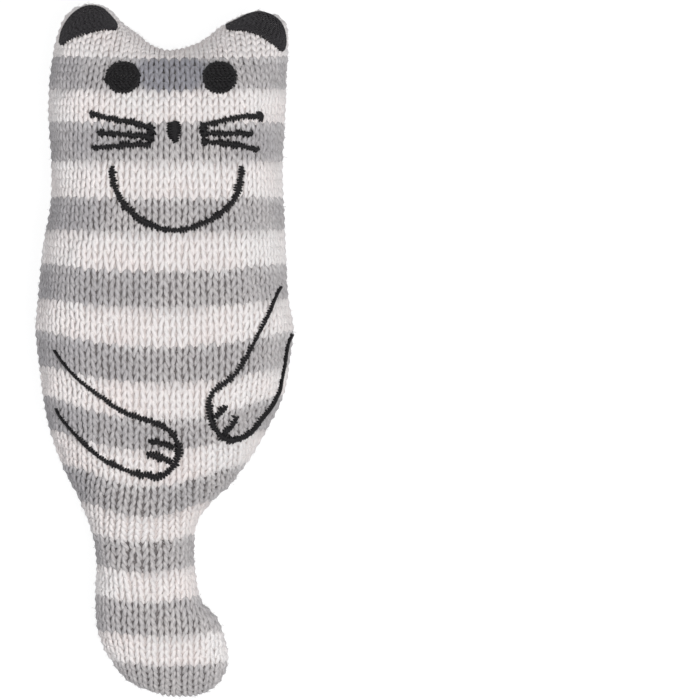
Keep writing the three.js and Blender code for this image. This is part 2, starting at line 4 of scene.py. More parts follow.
import bmesh
import bpy
import numpy as np
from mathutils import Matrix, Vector


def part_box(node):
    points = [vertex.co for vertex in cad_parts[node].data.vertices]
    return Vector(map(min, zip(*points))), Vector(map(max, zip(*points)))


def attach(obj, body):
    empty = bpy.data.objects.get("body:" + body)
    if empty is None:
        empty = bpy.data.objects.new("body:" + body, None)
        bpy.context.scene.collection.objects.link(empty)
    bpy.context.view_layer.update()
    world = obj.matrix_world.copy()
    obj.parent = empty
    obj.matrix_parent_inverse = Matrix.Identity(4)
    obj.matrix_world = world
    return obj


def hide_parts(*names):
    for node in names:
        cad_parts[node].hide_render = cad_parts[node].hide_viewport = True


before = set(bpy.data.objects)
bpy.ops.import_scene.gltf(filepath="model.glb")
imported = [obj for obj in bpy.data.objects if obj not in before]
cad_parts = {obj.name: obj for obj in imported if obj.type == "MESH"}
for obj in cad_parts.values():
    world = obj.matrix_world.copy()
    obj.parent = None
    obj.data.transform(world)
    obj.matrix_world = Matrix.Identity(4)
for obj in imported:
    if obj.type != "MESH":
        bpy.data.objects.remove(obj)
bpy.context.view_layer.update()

# A stuffed cat of striped stockinette, filled with catnip, lying on its back.
# The numbers are in millimetres, in the frame of the CAD model, until a mesh is made.
MM = 0.001

# The outline of both panels, from the tip of the tail up each side, and across the two ends
LEFT_SIDE = [
    (-3.13, -73.96), (-7.89, -71.72), (-11.77, -67.16), (-14.58, -60.91), (-15.23, -54.0),
    (-15.01, -45.35), (-16.08, -39.1), (-18.71, -32.43), (-22.36, -25.06), (-25.51, -15.34),
    (-26.97, -5.63), (-28.09, 4.56), (-27.42, 12.53), (-26.46, 22.51), (-24.81, 31.56),
    (-24.71, 41.06), (-25.28, 50.6), (-24.97, 58.35), (-24.3, 63.98), (-23.21, 68.72),
    (-21.92, 71.73), (-19.96, 73.88), (-17.38, 74.96),
]
RIGHT_SIDE = [
    (9.4, -73.96), (12.0, -71.92), (13.83, -67.4), (13.28, -62.64), (11.34, -57.65), (8.11, -54.0),
    (6.92, -48.61), (6.59, -42.56), (7.35, -37.14), (10.29, -33.03), (14.79, -28.94), (19.11, -22.91),
    (22.82, -16.42), (25.91, -9.92), (27.54, -0.4), (28.11, 4.76), (26.98, 11.26), (26.48, 20.3),
    (26.01, 30.28), (25.7, 38.9), (26.17, 48.41), (26.58, 59.23), (26.89, 65.7), (26.58, 69.79),
    (25.39, 71.95), (23.23, 73.01), (20.18, 73.67),
]
TAIL_TIP = [(-3.13, -73.96), (0.77, -74.83), (4.21, -74.94), (7.24, -74.75), (9.4, -73.96)]
EAR_TOPS = [
    (-17.38, 74.96), (-14.34, 74.85), (-12.64, 74.31), (-10.88, 73.01), (-9.18, 71.08), (-5.72, 68.5),
    (-2.27, 65.92), (1.19, 65.06), (4.65, 65.7), (8.11, 67.2), (11.15, 69.47), (13.27, 70.87),
    (16.72, 72.59), (20.18, 73.67),
]

# How the stuffed panels rise above the seam, as in the CAD model
FRONT_SWELL = 20
BACK_SWELL = 17
EAR_DROOP = 4
EAR_START = 65.06
TAIL_WIDTH = 21.8
SEAM_RISE = 1.45
FLAT_DEPTH = 0.5
END_BEND = 0.45
ROW_CROWDING = 0.55
COLUMNS = 64
ROWS = 144

# The fold of the knit into the groove of the seam, and the gap that is left between its two sides
GROOVE_DEPTH = 1.2
FOLD_STEPS = 3
SEAM_GAP = 0.1

# Heights of the stripes' edges on the centre line, from the forehead to the tip of the tail. Each
# stripe is four courses of knitting. The first is grey. How far each edge bends up at the sides.
STRIPE_COURSES = 4
STRIPE_EDGES = [
    63.3, 56.2, 49.0, 40.6, 32.6, 25.3, 16.8, 8.9, 0.6, -7.3,
    -15.1, -22.0, -29.6, -36.3, -41.7, -48.2, -54.4, -62.0, -68.5, -75.4,
]
STRIPE_BENDS = [
    0.0, 0.0, 0.0, 0.0, 0.2, 0.6, 1.7, 2.2, 3.5, 3.7,
    5.2, 4.6, 4.8, 3.4, 1.8, 1.7, 1.5, 1.3, 1.1, 0.9,
]

# On the steep ends, above the first stripe and below the last, a course keeps its height on the cloth
EAR_COURSE_HEIGHT = 1.8
TIP_COURSE_HEIGHT = 1.65

# Stockinette, upside down: each loop's legs lean together at the top, and lie in front there.
# The wales are narrow on the head and wide where the tail starts, which is stretched: (height, width)
WALES = [
    (-72, 2.5), (-65, 2.72), (-53, 2.88), (-47, 3.2), (-41, 3.33), (-35, 3.09), (-29, 2.74),
    (-18, 2.6), (-8, 2.66), (5, 2.69), (25, 2.61), (40, 2.48), (55, 2.34), (63, 2.22),
]
LOOP_LEAN = 0.235
LOOP_BEND = 0.03
LOOP_TILT = 0.6
LOOP_HEIGHT = 0.84
LOOP_DEPTH = 0.44
YARN_RADIUS = 0.5
LOOP_POINTS = 12

# How deep under the tops of the loops the purl side lies
GROUND_DEPTH = 0.92
RIM_GROUND = 0.8
RIM_STEPS = 5

# How much thinner the yarn is pressed where the loops hook into each other, and how unevenly they lie
YARN_NARROWING = 0.25
LOOP_JITTER = 0.05
JITTER_SEED = 7

# The spacing at which the fabric is tabled, how many points of a cut loop the seam grips, and the
# fewest points that make a stretch of yarn
COURSE_STEP = 0.5
WALE_STEP = 0.25
SEAM_GRIP = 9
SHORTEST_RUN = 3


def smoothstep(value, low, high):
    share = np.clip((value - low) / (high - low), 0, 1)
    return share * share * (3 - 2 * share)


def unit(vectors):
    return vectors / np.maximum(np.linalg.norm(vectors, axis=-1, keepdims=True), 1e-9)


def smooth_path(points, steps=24):
    """A finely divided centripetal Catmull-Rom curve through points."""
    points = np.array(points, float)
    padded = np.vstack([2 * points[0] - points[1], points, 2 * points[-1] - points[-2]])
    spans = np.sqrt(np.linalg.norm(np.diff(padded, axis=0), axis=1))[:, None]
    before, span, after = spans[:-2], spans[1:-1], spans[2:]
    p0, p1, p2, p3 = padded[:-3], padded[1:-2], padded[2:-1], padded[3:]
    leaving = span * ((p1 - p0) / before - (p2 - p0) / (before + span)) + p2 - p1
    arriving = span * ((p3 - p2) / after - (p3 - p1) / (span + after)) + p2 - p1
    t = np.linspace(0, 1, steps, endpoint=False)[None, :, None]
    square = 3 * (p2 - p1) - 2 * leaving - arriving
    cube = 2 * (p1 - p2) + leaving + arriving
    fine = p1[:, None] + leaving[:, None] * t + square[:, None] * t**2 + cube[:, None] * t**3
    return np.vstack([fine.reshape(-1, points.shape[1]), points[-1]])


def along(path, shares):
    """Points at shares of a path's length."""
    lengths = np.append(0, np.cumsum(np.linalg.norm(np.diff(path, axis=0), axis=1)))
    wanted = np.asarray(shares) * lengths[-1]
    return np.stack([np.interp(wanted, lengths, axis) for axis in path.T], axis=-1)


def grid_quads(rows, columns):
    """The four corners of each face of a grid of points."""
    corner = (np.arange(rows - 1)[:, None] * columns + np.arange(columns - 1)).ravel()
    return np.stack([corner, corner + 1, corner + columns + 1, corner + columns], 1)


def new_object(name, data):
    made = bpy.data.objects.new(name, data)
    bpy.context.scene.collection.objects.link(made)
    return made


def crowd(shares):
    return (1 - np.cos(np.pi * shares)) / 2


column_shares = crowd(np.linspace(0, 1, COLUMNS + 1))
row_steps = np.linspace(0, 1, ROWS + 1)
row_shares = row_steps + (crowd(row_steps) - row_steps) * ROW_CROWDING


def panel_pattern():
    """The flat grid of points inside the outline: rows from the tail to the ears."""
    left, right = [along(smooth_path(side), row_shares)[:, None] for side in (LEFT_SIDE, RIGHT_SIDE)]
    u = column_shares[None, :, None]
    grid = left + (right - left) * u
    for edge, nearness in ((EAR_TOPS, row_shares), (TAIL_TIP, 1 - row_shares)):
        points = along(smooth_path(edge), column_shares)[None]
        bend = points - points[:, :1] - (points[:, -1:] - points[:, :1]) * u
        grid = grid + smoothstep(nearness, 1 - END_BEND, 1)[:, None, None] * bend
    return grid


FILM_ROUNDS = 600
FILM_ERROR = 1e-12


def film_squares(grid):
    """The squared height of a film held at the outline and blown up, by conjugate gradients."""
    rows, columns = grid.shape[:2]
    count = rows * columns
    quads = grid_quads(rows, columns)
    triangles = np.vstack([quads[:, :3], quads[:, [0, 2, 3]]])
    places = grid.reshape(count, 2)[triangles]
    sides = np.roll(places, 1, axis=1) - np.roll(places, -1, axis=1)
    area = np.abs(sides[:, 0, 0] * sides[:, 1, 1] - sides[:, 0, 1] * sides[:, 1, 0]) / 2
    weights = np.einsum("tik,tjk->tij", sides, sides) / (4 * area)[:, None, None]
    first = np.repeat(triangles, 3, axis=1).ravel()
    second = np.tile(triangles, (1, 3)).ravel()
    weights = weights.reshape(len(triangles), 9).ravel()
    load = np.bincount(triangles.ravel(), np.repeat(area / 3, 3), count)
    inside = np.pad(np.ones((rows - 2, columns - 2)), 1).ravel()
    film = np.zeros(count)
    rest = load * inside
    heading = rest.copy()
    for _ in range(FILM_ROUNDS):
        pull = np.bincount(first, weights * heading[second], count) * inside
        step = rest @ rest / (heading @ pull)
        film += step * heading
        left = rest - step * pull
        if left @ left < FILM_ERROR * (load @ load):
            break
        heading = left + (left @ left) / (rest @ rest) * heading
        rest = left
    return 2 * np.maximum(film, 0).reshape(rows, columns)


def swelling(square, limit):
    return limit * (1 - np.exp(-np.sqrt(square) / limit))


pattern = panel_pattern()
squares = film_squares(pattern)
row_heights = pattern[:, COLUMNS // 2, 1]
spine_depths = swelling(squares.max(axis=1), BACK_SWELL)
spine = np.flatnonzero(
    (row_heights > pattern[..., 1].min() + TAIL_WIDTH / 2) & (row_heights < EAR_START - TAIL_WIDTH / 2))
over_ears = smoothstep(row_heights, row_heights[spine[-1]], EAR_START)
seam_heights = (
    spine_depths[np.clip(np.arange(ROWS + 1), spine[0], spine[-1])] + SEAM_RISE - FLAT_DEPTH
    - EAR_DROOP * over_ears)


def grid_normals(points, side):
    return side * unit(np.cross(np.gradient(points, axis=1), np.gradient(points, axis=0)))


def rim_directions(points):
    """Level unit vectors that point out of the panel, at the rim of its grid."""
    flat = points * (1, 1, 0)
    up_columns = unit(np.gradient(flat, axis=0))
    across_rows = unit(np.gradient(flat, axis=1))
    out = np.zeros_like(points)
    turned = np.array([[0, 1, 0], [-1, 0, 0], [0, 0, 0]])
    out[:, 0] += up_columns[:, 0] @ turned
    out[:, -1] -= up_columns[:, -1] @ turned
    out[-1] += across_rows[-1] @ turned
    out[0] -= across_rows[0] @ turned
    return unit(out)


def panel_face(side, limit):
    """The outer face of a panel, as a grid of points."""
    heights = seam_heights[:, None] + side * (SEAM_RISE + swelling(squares, limit))
    points = np.concatenate([pattern, heights[..., None]], axis=-1)
    points[..., 2] = np.maximum(points[..., 2], 0)
    return points


def rim_loop(grid):
    """The rim of a grid, once round: up the left side, over the ears and down the right side."""
    return np.concatenate([grid[:, 0], grid[-1, 1:], grid[-2::-1, -1], grid[0, -2:0:-1]])


def lumps(points, width):
    """Soft lumps, from 0 to 1, about as wide as given."""
    waves = [(1.0, 0.4, 0.7), (-0.5, 1.1, 0.3), (0.3, -0.6, 1.2), (0.9, 0.8, -0.6)]
    turns = points @ np.array(waves).T * (2 * np.pi / width) + np.arange(len(waves)) * 1.7
    return (np.sin(turns).mean(axis=-1) + 1) / 2


# The stuffing presses the sewn cover out. The cloth solver is at home with things a metre across, so
# the toy is ten times as large there. The seam is held, and no point moves further than the cap.
CLOTH_SCALE = 10
CLOTH_STEPS = 20
CLOTH_PRESSURE = 4
CLOTH_MASS = 0.06
CLOTH_SLACK = 0.02
CLOTH_CAP = 1.0
LUMP_WIDTH = 30
LUMP_HEIGHT = 1.0
LUMP_START = 8


def pressed_out(front, back):
    """The two faces of the cover after a cloth simulation, with the lumps of the stuffing in them."""
    rows, columns = front.shape[:2]
    count = rows * columns
    points = np.vstack([front.reshape(-1, 3), back.reshape(-1, 3)])
    quads = grid_quads(rows, columns)
    rim = rim_loop(np.arange(count).reshape(rows, columns))
    after = np.roll(rim, -1)
    band = np.stack([rim, after, after + count, rim + count], 1)
    faces = np.vstack([quads, quads[:, ::-1] + count, band])

    mesh = bpy.data.meshes.new("cover")
    mesh.from_pydata((points * MM * CLOTH_SCALE).tolist(), [], faces.tolist())
    cover = new_object("cover", mesh)
    seam = cover.vertex_groups.new(name="seam")
    seam.add(np.concatenate([rim, rim + count]).tolist(), 1, "REPLACE")
    cloth = cover.modifiers.new("cloth", "CLOTH")
    settings = cloth.settings
    settings.quality = 6
    settings.mass = CLOTH_MASS
    settings.vertex_group_mass = "seam"
    settings.shrink_min = -CLOTH_SLACK
    settings.use_pressure = True
    settings.uniform_pressure_force = CLOTH_PRESSURE
    settings.effector_weights.gravity = 0
    cloth.collision_settings.use_collision = False
    cloth.point_cache.frame_start = 1
    cloth.point_cache.frame_end = CLOTH_STEPS
    for step in range(1, CLOTH_STEPS + 1):
        bpy.context.scene.frame_set(step)
    settled = cover.evaluated_get(bpy.context.evaluated_depsgraph_get()).data
    places = np.empty(len(points) * 3)
    settled.vertices.foreach_get("co", places)
    moves = places.reshape(-1, 3) / (MM * CLOTH_SCALE) - points
    bpy.data.objects.remove(cover)
    bpy.context.scene.frame_set(1)
    lengths = np.linalg.norm(moves, axis=1)
    moves *= np.minimum(1, CLOTH_CAP / np.maximum(lengths, 1e-6))[:, None]
    pressed = []
    for face, side, move in ((front, 1, moves[:count]), (back, -1, moves[count:])):
        above_seam = side * (face[..., 2] - seam_heights[:, None])
        raised = smoothstep(above_seam, SEAM_RISE, SEAM_RISE + LUMP_START)
        lump = (lumps(face, LUMP_WIDTH) - 0.5) * LUMP_HEIGHT * raised
        face = face + move.reshape(face.shape) + grid_normals(face, side) * lump[..., None]
        face[..., 2] = np.maximum(face[..., 2], 0)
        pressed.append(face)
    return pressed


def from_ends(count):
    """How many steps each point of a line is from its nearer end."""
    return np.minimum(np.arange(count), np.arange(count)[::-1])


def courses_of(face):
    """The course that passes each point of a face."""
    edges = np.arange(len(STRIPE_EDGES)) * STRIPE_COURSES
    every = np.arange(edges[-1] + 1)
    heights, bends = [np.interp(every, edges, values) for values in (STRIPE_EDGES, STRIPE_BENDS)]
    rises = np.hypot(np.diff(face[..., 1], axis=0), np.diff(face[..., 2], axis=0))
    climbs = np.concatenate([np.zeros((1, face.shape[1])), np.cumsum(rises, axis=0)])
    course = np.empty(face.shape[:2])
    for column, u in enumerate(column_shares):
        levels = heights + bends * (2 * u - 1) ** 2
        up, climb = face[:, column, 1], climbs[:, column]
        start, end = np.interp([levels[0], levels[-1 - STRIPE_COURSES]], up, climb)
        beyond_end = every[-1 - STRIPE_COURSES] + (end - climb) / TIP_COURSE_HEIGHT
        between = np.interp(up, levels[::-1], every[::-1])
        course[:, column] = np.where(
            climb > start, (start - climb) / EAR_COURSE_HEIGHT, np.where(climb < end, beyond_end, between))
    return course


def knit_of(face, side):
    """Adds the fold at the seam to a face, and works out which course passes each point."""
    inner_normals = grid_normals(face, side)
    out = rim_directions(face)
    for edge in (np.s_[0], np.s_[-1], np.s_[:, 0], np.s_[:, -1]):
        inner_normals[edge] = out[edge]
    margin = [(FOLD_STEPS, FOLD_STEPS), (FOLD_STEPS, FOLD_STEPS), (0, 0)]
    points, normals, out = [np.pad(array, margin, "edge") for array in (face, inner_normals, out)]
    from_row, from_column = [from_ends(count) for count in points.shape[:2]]
    beyond_row = np.maximum(FOLD_STEPS - from_row, 0)
    depth = np.maximum(beyond_row[:, None], FOLD_STEPS - from_column)[..., None]
    angle = depth / FOLD_STEPS * np.pi / 2
    down = np.array([0, 0, -side])
    points = points - out * GROOVE_DEPTH * (1 - np.cos(angle)) + down * (SEAM_RISE - SEAM_GAP) * np.sin(angle)
    normals = np.where(depth > 0, unit(out * np.cos(angle) + down * np.sin(angle)), normals)

    fold_step = (GROOVE_DEPTH + SEAM_RISE) / 2 * np.pi / 2 / FOLD_STEPS
    signs = np.sign(np.arange(len(points)) - len(points) / 2)
    course = np.pad(courses_of(face), FOLD_STEPS, "edge")
    course -= (signs * beyond_row * fold_step / EAR_COURSE_HEIGHT)[:, None]
    inward = smoothstep(np.minimum(from_row[:, None], from_column) - FOLD_STEPS, 0, RIM_STEPS)[..., None]
    ground_depth = GROUND_DEPTH * (RIM_GROUND + (1 - RIM_GROUND) * inward) * (1 - (depth / FOLD_STEPS) ** 2)
    return {"points": points, "normals": normals, "course": course, "ground": points - normals * ground_depth}


def lines_at(values, keys, wanted):
    """The lines across a grid where a key, which grows along each column, has the wanted values."""
    rows = np.arange(len(values), dtype=float)
    lines = np.empty((len(wanted),) + values.shape[1:])
    for column in range(values.shape[1]):
        row = np.interp(wanted, keys[:, column], rows)
        low = np.minimum(row.astype(int), len(rows) - 2)
        share = (row - low)[:, None]
        lines[:, column] = values[low, column] * (1 - share) + values[low + 1, column] * share
    return lines


def wales_along(line):
    """The wale at each column of a course, by the length of cloth from the middle column."""
    middle = len(line) // 2
    travelled = np.append(0, np.cumsum(np.hypot(np.diff(line[:, 0]), np.diff(line[:, 2]))))
    width = np.interp(line[middle, 1], *np.transpose(WALES))
    return (travelled - travelled[middle] + line[middle, 0]) / width


def fabric_table(knit):
    """The knit's points and normals at an even spacing of wales and courses."""
    course = knit["course"]
    courses = np.arange(math.floor(course.min()), math.ceil(course.max()) + COURSE_STEP, COURSE_STEP)
    lines = lines_at(np.concatenate([knit["points"], knit["normals"]], axis=-1), -course, -courses)
    inside = (courses[:, None] > course[-1]) & (courses[:, None] < course[0])
    places = np.array([wales_along(line) for line in lines])
    wales = np.arange(math.floor(places.min()), math.ceil(places.max()) + WALE_STEP, WALE_STEP)
    table = np.empty((len(courses), len(wales), 6))
    within = np.empty(table.shape[:2])
    for number, line in enumerate(lines):
        table[number] = np.transpose([np.interp(wales, places[number], axis) for axis in line.T])
        within[number] = np.interp(wales, places[number], inside[number] * 1.0, left=0, right=0)
    return {"courses": courses, "wales": wales, "table": table, "within": within}


def on_fabric(fabric, wale, course):
    """Points, normals and whether they are on the panel, at these wales and courses."""
    row = np.clip((course - fabric["courses"][0]) / COURSE_STEP, 0, len(fabric["courses"]) - 1.001)
    column = np.clip((wale - fabric["wales"][0]) / WALE_STEP, 0, len(fabric["wales"]) - 1.001)
    r, c = row.astype(int), column.astype(int)
    down, across = (row - r)[:, None], (column - c)[:, None]

    def blend(field):
        upper = field[r, c] * (1 - across) + field[r, c + 1] * across
        lower = field[r + 1, c] * (1 - across) + field[r + 1, c + 1] * across
        return upper * (1 - down) + lower * down

    values = blend(fabric["table"])
    return values[:, :3], unit(values[:, 3:]), blend(fabric["within"][..., None])[:, 0] > 0.5


def course_paths(fabric, grey):
    """The yarn of each grey or white course, loop after loop from side to side."""
    random = np.random.default_rng(JITTER_SEED)
    pieces, chains = [], []
    first, last = int(fabric["courses"][0]), int(fabric["courses"][-1])
    low, high = fabric["wales"][0], fabric["wales"][-1]
    turns = np.arange(low * LOOP_POINTS, high * LOOP_POINTS + 1) / LOOP_POINTS
    phase = turns * 2 * np.pi
    wale = turns + LOOP_LEAN * np.sin(2 * phase) + LOOP_BEND * np.sin(4 * phase)
    sinking = (1 + np.cos(2 * phase)) / 2
    tilt = LOOP_TILT * np.cos(phase) * np.sin(phase) ** 2
    legs = np.arange(turns[0], turns[-1] + 1, 0.5)
    last_stripe = len(STRIPE_EDGES) - 2
    for course in range(first, last):
        stripe = min(course // STRIPE_COURSES, last_stripe)
        if (stripe % 2 == 0 and stripe >= 0) != grey:
            continue
        stray, slip, puff = [
            np.interp(turns, legs, random.normal(0, LOOP_JITTER, len(legs))) for _ in range(3)]
        line = course + 0.5 + LOOP_HEIGHT * np.cos(phase) + slip
        places, normals, within = on_fabric(fabric, wale + stray, line)
        lift = -YARN_RADIUS - 2 * LOOP_DEPTH * (sinking + tilt * np.abs(normals[:, 2]))
        girth = (1 + puff) * (1 - YARN_NARROWING * sinking)
        stripe_place = line - STRIPE_COURSES * max(stripe, -1)
        if stripe < 0:
            stripe_place = np.maximum(stripe_place, STRIPE_COURSES / 2)
        if stripe == last_stripe:
            stripe_place = np.minimum(stripe_place, STRIPE_COURSES / 2)
        values = np.column_stack([places + normals * lift[:, None], normals, girth, stripe_place])
        held = np.flatnonzero(np.convolve(within, np.ones(SEAM_GRIP), "same") > 0.5)
        for run in np.split(held, np.flatnonzero(np.diff(held) > 1) + 1):
            if len(run) > SHORTEST_RUN:
                start = sum(len(done) for done in pieces)
                chains.append(range(start, start + len(run)))
                pieces.append(values[run])
    values = np.vstack(pieces)
    return values[:, :3], chains, {
        "outward": values[:, 3:6], "girth": values[:, 6], "stripe_place": values[:, 7]}


def srgb(code):
    """The linear colour of an sRGB hex code."""
    values = [int(code[place:place + 2], 16) / 255 for place in (1, 3, 5)]
    return tuple(v / 12.92 if v <= 0.04045 else ((v + 0.055) / 1.055) ** 2.4 for v in values) + (1,)


def add_node(tree, kind, inputs=(), out=0, **settings):
    """Adds a node and gives one of its outputs. Each input is a value, the output of another node
    that is linked to it, or a sum of such inputs: a tuple of the operation and of what goes into it."""
    made = tree.nodes.new(kind)
    for name, value in settings.items():
        setattr(made, name, value)
    for key, value in (inputs if isinstance(inputs, dict) else dict(enumerate(inputs))).items():
        if isinstance(value, tuple) and isinstance(value[0], str):
            value = add_node(tree, "ShaderNodeMath", value[1:], operation=value[0])
        if isinstance(value, bpy.types.NodeSocket):
            tree.links.new(value, made.inputs[key])
        else:
            made.inputs[key].default_value = value
    return made.outputs[out] if made.outputs else None


NOISE = "ShaderNodeTexNoise"
RANGE = "ShaderNodeMapRange"
VECTORS = "ShaderNodeVectorMath"
ATTRIBUTE = "ShaderNodeAttribute"


def start_nodes(owner):
    """Clears the nodes of a material or a world, and gives the function that adds one."""
    owner.use_nodes = True
    owner.node_tree.nodes.clear()
    return partial(add_node, owner.node_tree)


def start_material(name):
    material = bpy.data.materials.new(name)
    return material, start_nodes(material)


def finish_material(add, colour, layers, roughness, gloss, height=None, relief=(0.6, 0.2), sheen=(0.0, 0.5)):
    """Ends a material. Each layer lays a share of a colour over the ones before. The relief has a
    strength and a depth in millimetres, and the sheen a weight and a roughness."""
    base = srgb(colour)
    for share, shade in layers:
        base = add("ShaderNodeMix", {0: share, 6: base, 7: srgb(shade)}, 2, data_type="RGBA")
    inputs = {"Base Color": base, "Roughness": roughness, "Specular IOR Level": gloss,
              "Sheen Weight": sheen[0], "Sheen Roughness": sheen[1]}
    if height is not None:
        inputs["Normal"] = add("ShaderNodeBump", {
            "Strength": relief[0], "Distance": relief[1] * MM, "Height": height})
    add("ShaderNodeOutputMaterial", {"Surface": add("ShaderNodeBsdfPrincipled", inputs)})


def plies(add, turn_length):
    """The length along a yarn, the two coordinates across it, and a ridge that winds as its two plies do."""
    length = add(ATTRIBUTE, out="Fac", attribute_name="yarn_length")
    ring = add(ATTRIBUTE, out="Vector", attribute_name="yarn_ring")
    x, y = [add("ShaderNodeSeparateXYZ", [ring], axis) for axis in (0, 1)]
    turn = ("MULTIPLY", length, 2 * math.pi / (turn_length * MM))
    apart = ("SUBTRACT", ("MULTIPLY", x, ("COSINE", turn)), ("MULTIPLY", y, ("SINE", turn)))
    return length, x, y, add("ShaderNodeMath", [apart], operation="ABSOLUTE")


# Acrylic yarn of two plies, spun soft: matt, a little fuzzy, with a slow twist that catches the light.
# One turn of the plies takes about 3 mm. The fibres are about 0.03 mm thick and are drawn at 0.16 mm.
PLY_TURN = 3.0
FIBRE_SIZE = 0.16
FIBRE_STRETCH = 0.2

# Painted shade in the dip between the eyes, a darker and bluer grey: where, and how far it reaches each way
SHADE_BETWEEN_EYES_PLACE = (1.5, 60.0, 26.0)
SHADE_BETWEEN_EYES_REACH = (8.6, 5.6, 16.0)
SHADE_BETWEEN_EYES_COLOUR = "#a2a1a8"

# Painted shade towards the sides, where the cloth turns away: from and to which distance from the middle, and
# how much
PAINTED_SIDE_SHADES = [(-8, -18, 0.33), (10, 20, 0.17)]
PAINTED_SIDE_SHADE_COLOUR = "#8b8a92"

# The yarn is dyed in lengths, and its colours run into each other where they meet. How much of the other
# colour the yarn takes at the top and at the bottom of its stripe, and how many courses that reaches.
GREY_RUNS = (0.38, 0.12)
WHITE_RUNS = (0.25, 0.05)
RUN_REACH = 1.2

# The part of a noise's values that counts, and how unevenly the colours run
NOISE_LOW = 0.35
NOISE_HIGH = 0.65
RUN_LEAST = 0.2
RUN_MOST = 1.8


def acrylic_yarn(name, colour, hollow_shade_colour, tint, streaks, other, runs, with_painted_shade=False):
    material, add = start_material(name)
    place = add("ShaderNodeTexCoord", out="Object")
    length, x, y, ply = plies(add, PLY_TURN)
    stretched = add("ShaderNodeCombineXYZ", [
        ("MULTIPLY", x, YARN_RADIUS * MM), ("MULTIPLY", y, YARN_RADIUS * MM),
        ("MULTIPLY", length, FIBRE_STRETCH)])
    fibres = add(NOISE, {
        "Vector": stretched, "Scale": 1 / (FIBRE_SIZE * MM) / 2, "Detail": 3.0, "Roughness": 0.6})
    patches = add(NOISE, {"Vector": place, "Scale": 70.0, "Detail": 2.0})
    drift = add(NOISE, {"Vector": place, "Scale": 150.0, "Detail": 1.0})
    drift = add(RANGE, [drift, NOISE_LOW, NOISE_HIGH, RUN_LEAST, RUN_MOST])
    stripe_place = add(ATTRIBUTE, out="Fac", attribute_name="stripe_place")
    at_top = add(RANGE, [stripe_place, 0.0, RUN_REACH, runs[0], 0.0])
    at_bottom = add(RANGE, [
        stripe_place, STRIPE_COURSES - RUN_REACH, float(STRIPE_COURSES), 0.0, runs[1]])
    layers = [
        (add(RANGE, [patches, NOISE_LOW, NOISE_HIGH]), tint),
        (("MULTIPLY", ("ADD", at_top, at_bottom), drift), other)]
    # Painted shade on the grey yarn: darker and bluer in the dip between the eyes, and towards the sides
    # where the cloth turns away.
    if with_painted_shade:
        far = place
        for values, operation in ((SHADE_BETWEEN_EYES_PLACE, "SUBTRACT"), (SHADE_BETWEEN_EYES_REACH, "DIVIDE")):
            far = add(VECTORS, [far, [value * MM for value in values]], operation=operation)
        far = add(VECTORS, [far], "Value", operation="LENGTH")
        layers.append((add(RANGE, [far, 0.8, 1.15, 1.0, 0.0]), SHADE_BETWEEN_EYES_COLOUR))
        # Painted shade towards both sides, where the cloth turns away from the light.
        across = add("ShaderNodeSeparateXYZ", [place])
        for start, end, share in PAINTED_SIDE_SHADES:
            layers.append((add(RANGE, [across, start * MM, end * MM, 0.0, share]), PAINTED_SIDE_SHADE_COLOUR))
    # Painted shade in the hollows between the fibres and plies, mixed with the fibres' own streaky tone:
    # darker where their relief is low.
    groove = add(RANGE, [("MULTIPLY_ADD", fibres, 0.8, ("MULTIPLY", ply, 0.2)), 0.2, 0.62, 1.0, 0.0])
    layers.append((("MULTIPLY", groove, streaks), hollow_shade_colour))
    finish_material(
        add, colour, layers, 0.95, 0.2, ("MULTIPLY_ADD", ply, 0.3, fibres), (0.6, 0.15), (0.25, 0.6))
    return material


# The third colour of each yarn is its painted shade in the hollows between fibres and plies.
WHITE_YARN = acrylic_yarn("white acrylic yarn", "#efebe9", "#d6d0ce", "#efe7e4", 0.5, "#a5a1a1", WHITE_RUNS)
GREY_YARN = acrylic_yarn(
    "grey acrylic yarn", "#d2cdcb", "#777271", "#c0bcbc", 0.75, "#f6f2f0", GREY_RUNS, with_painted_shade=True)


# Ends of acrylic fibre that have worked loose. They are about 0.03 mm thick and are drawn at 0.05 mm.
FUZZ_RADIUS = 0.025
FUZZ_LENGTH = 0.7
FUZZ_SHARE = 0.4


def loose_fibre(name, colour, tint):
    material, add = start_material(name)
    place = add("ShaderNodeTexCoord", out="Object")
    patches = add(NOISE, {"Vector": place, "Scale": 500.0, "Detail": 1.0})
    finish_material(add, colour, [(patches, tint)], 0.8, 0.3)
    return material


WHITE_FUZZ = loose_fibre("loose white acrylic fibre", "#f5f1ee", "#e3dcd9")
GREY_FUZZ = loose_fibre("loose grey acrylic fibre", "#d6d3d1", "#8e8a88")


def ground_knit():
    """The purl side of the loops and the shade between them, striped as the yarn is."""
    material, add = start_material("purl side of the knit in painted shade")
    place = add("ShaderNodeTexCoord", out="Object")
    course = add(ATTRIBUTE, out="Fac", attribute_name="course")
    stripe = ("FLOOR", ("DIVIDE", course, float(STRIPE_COURSES)))
    stripe = ("MINIMUM", stripe, float(len(STRIPE_EDGES) - 2))
    white = ("MAXIMUM", ("ABSOLUTE", ("MODULO", stripe, 2.0)), ("LESS_THAN", course, 0.0))
    noise = add(NOISE, {"Vector": place, "Scale": 2500.0, "Detail": 3.0})
    # The purl side is coloured darker than the yarn: painted shade between the loops.
    finish_material(add, "#7c7776", [(white, "#cfc7c4")], 1.0, 0.1, noise)
    return material


GROUND = ground_knit()
THREAD_TURN = 0.9


def spun_thread(name, colour, tint, gloss):
    """Rayon, polyester or cotton thread of two plies: smooth filaments with a soft gloss along them."""
    material, add = start_material(name)
    ply = plies(add, THREAD_TURN)[-1]
    # The ridges of the plies are painted lighter than their hollows: painted sheen and shade along the
    # thread.
    finish_material(add, colour, [(ply, tint)], 0.5, gloss, ply, (0.6, 0.08))
    return material


BLACK_THREAD = spun_thread("black rayon embroidery thread", "#030204", "#0d0b0e", 0.24)
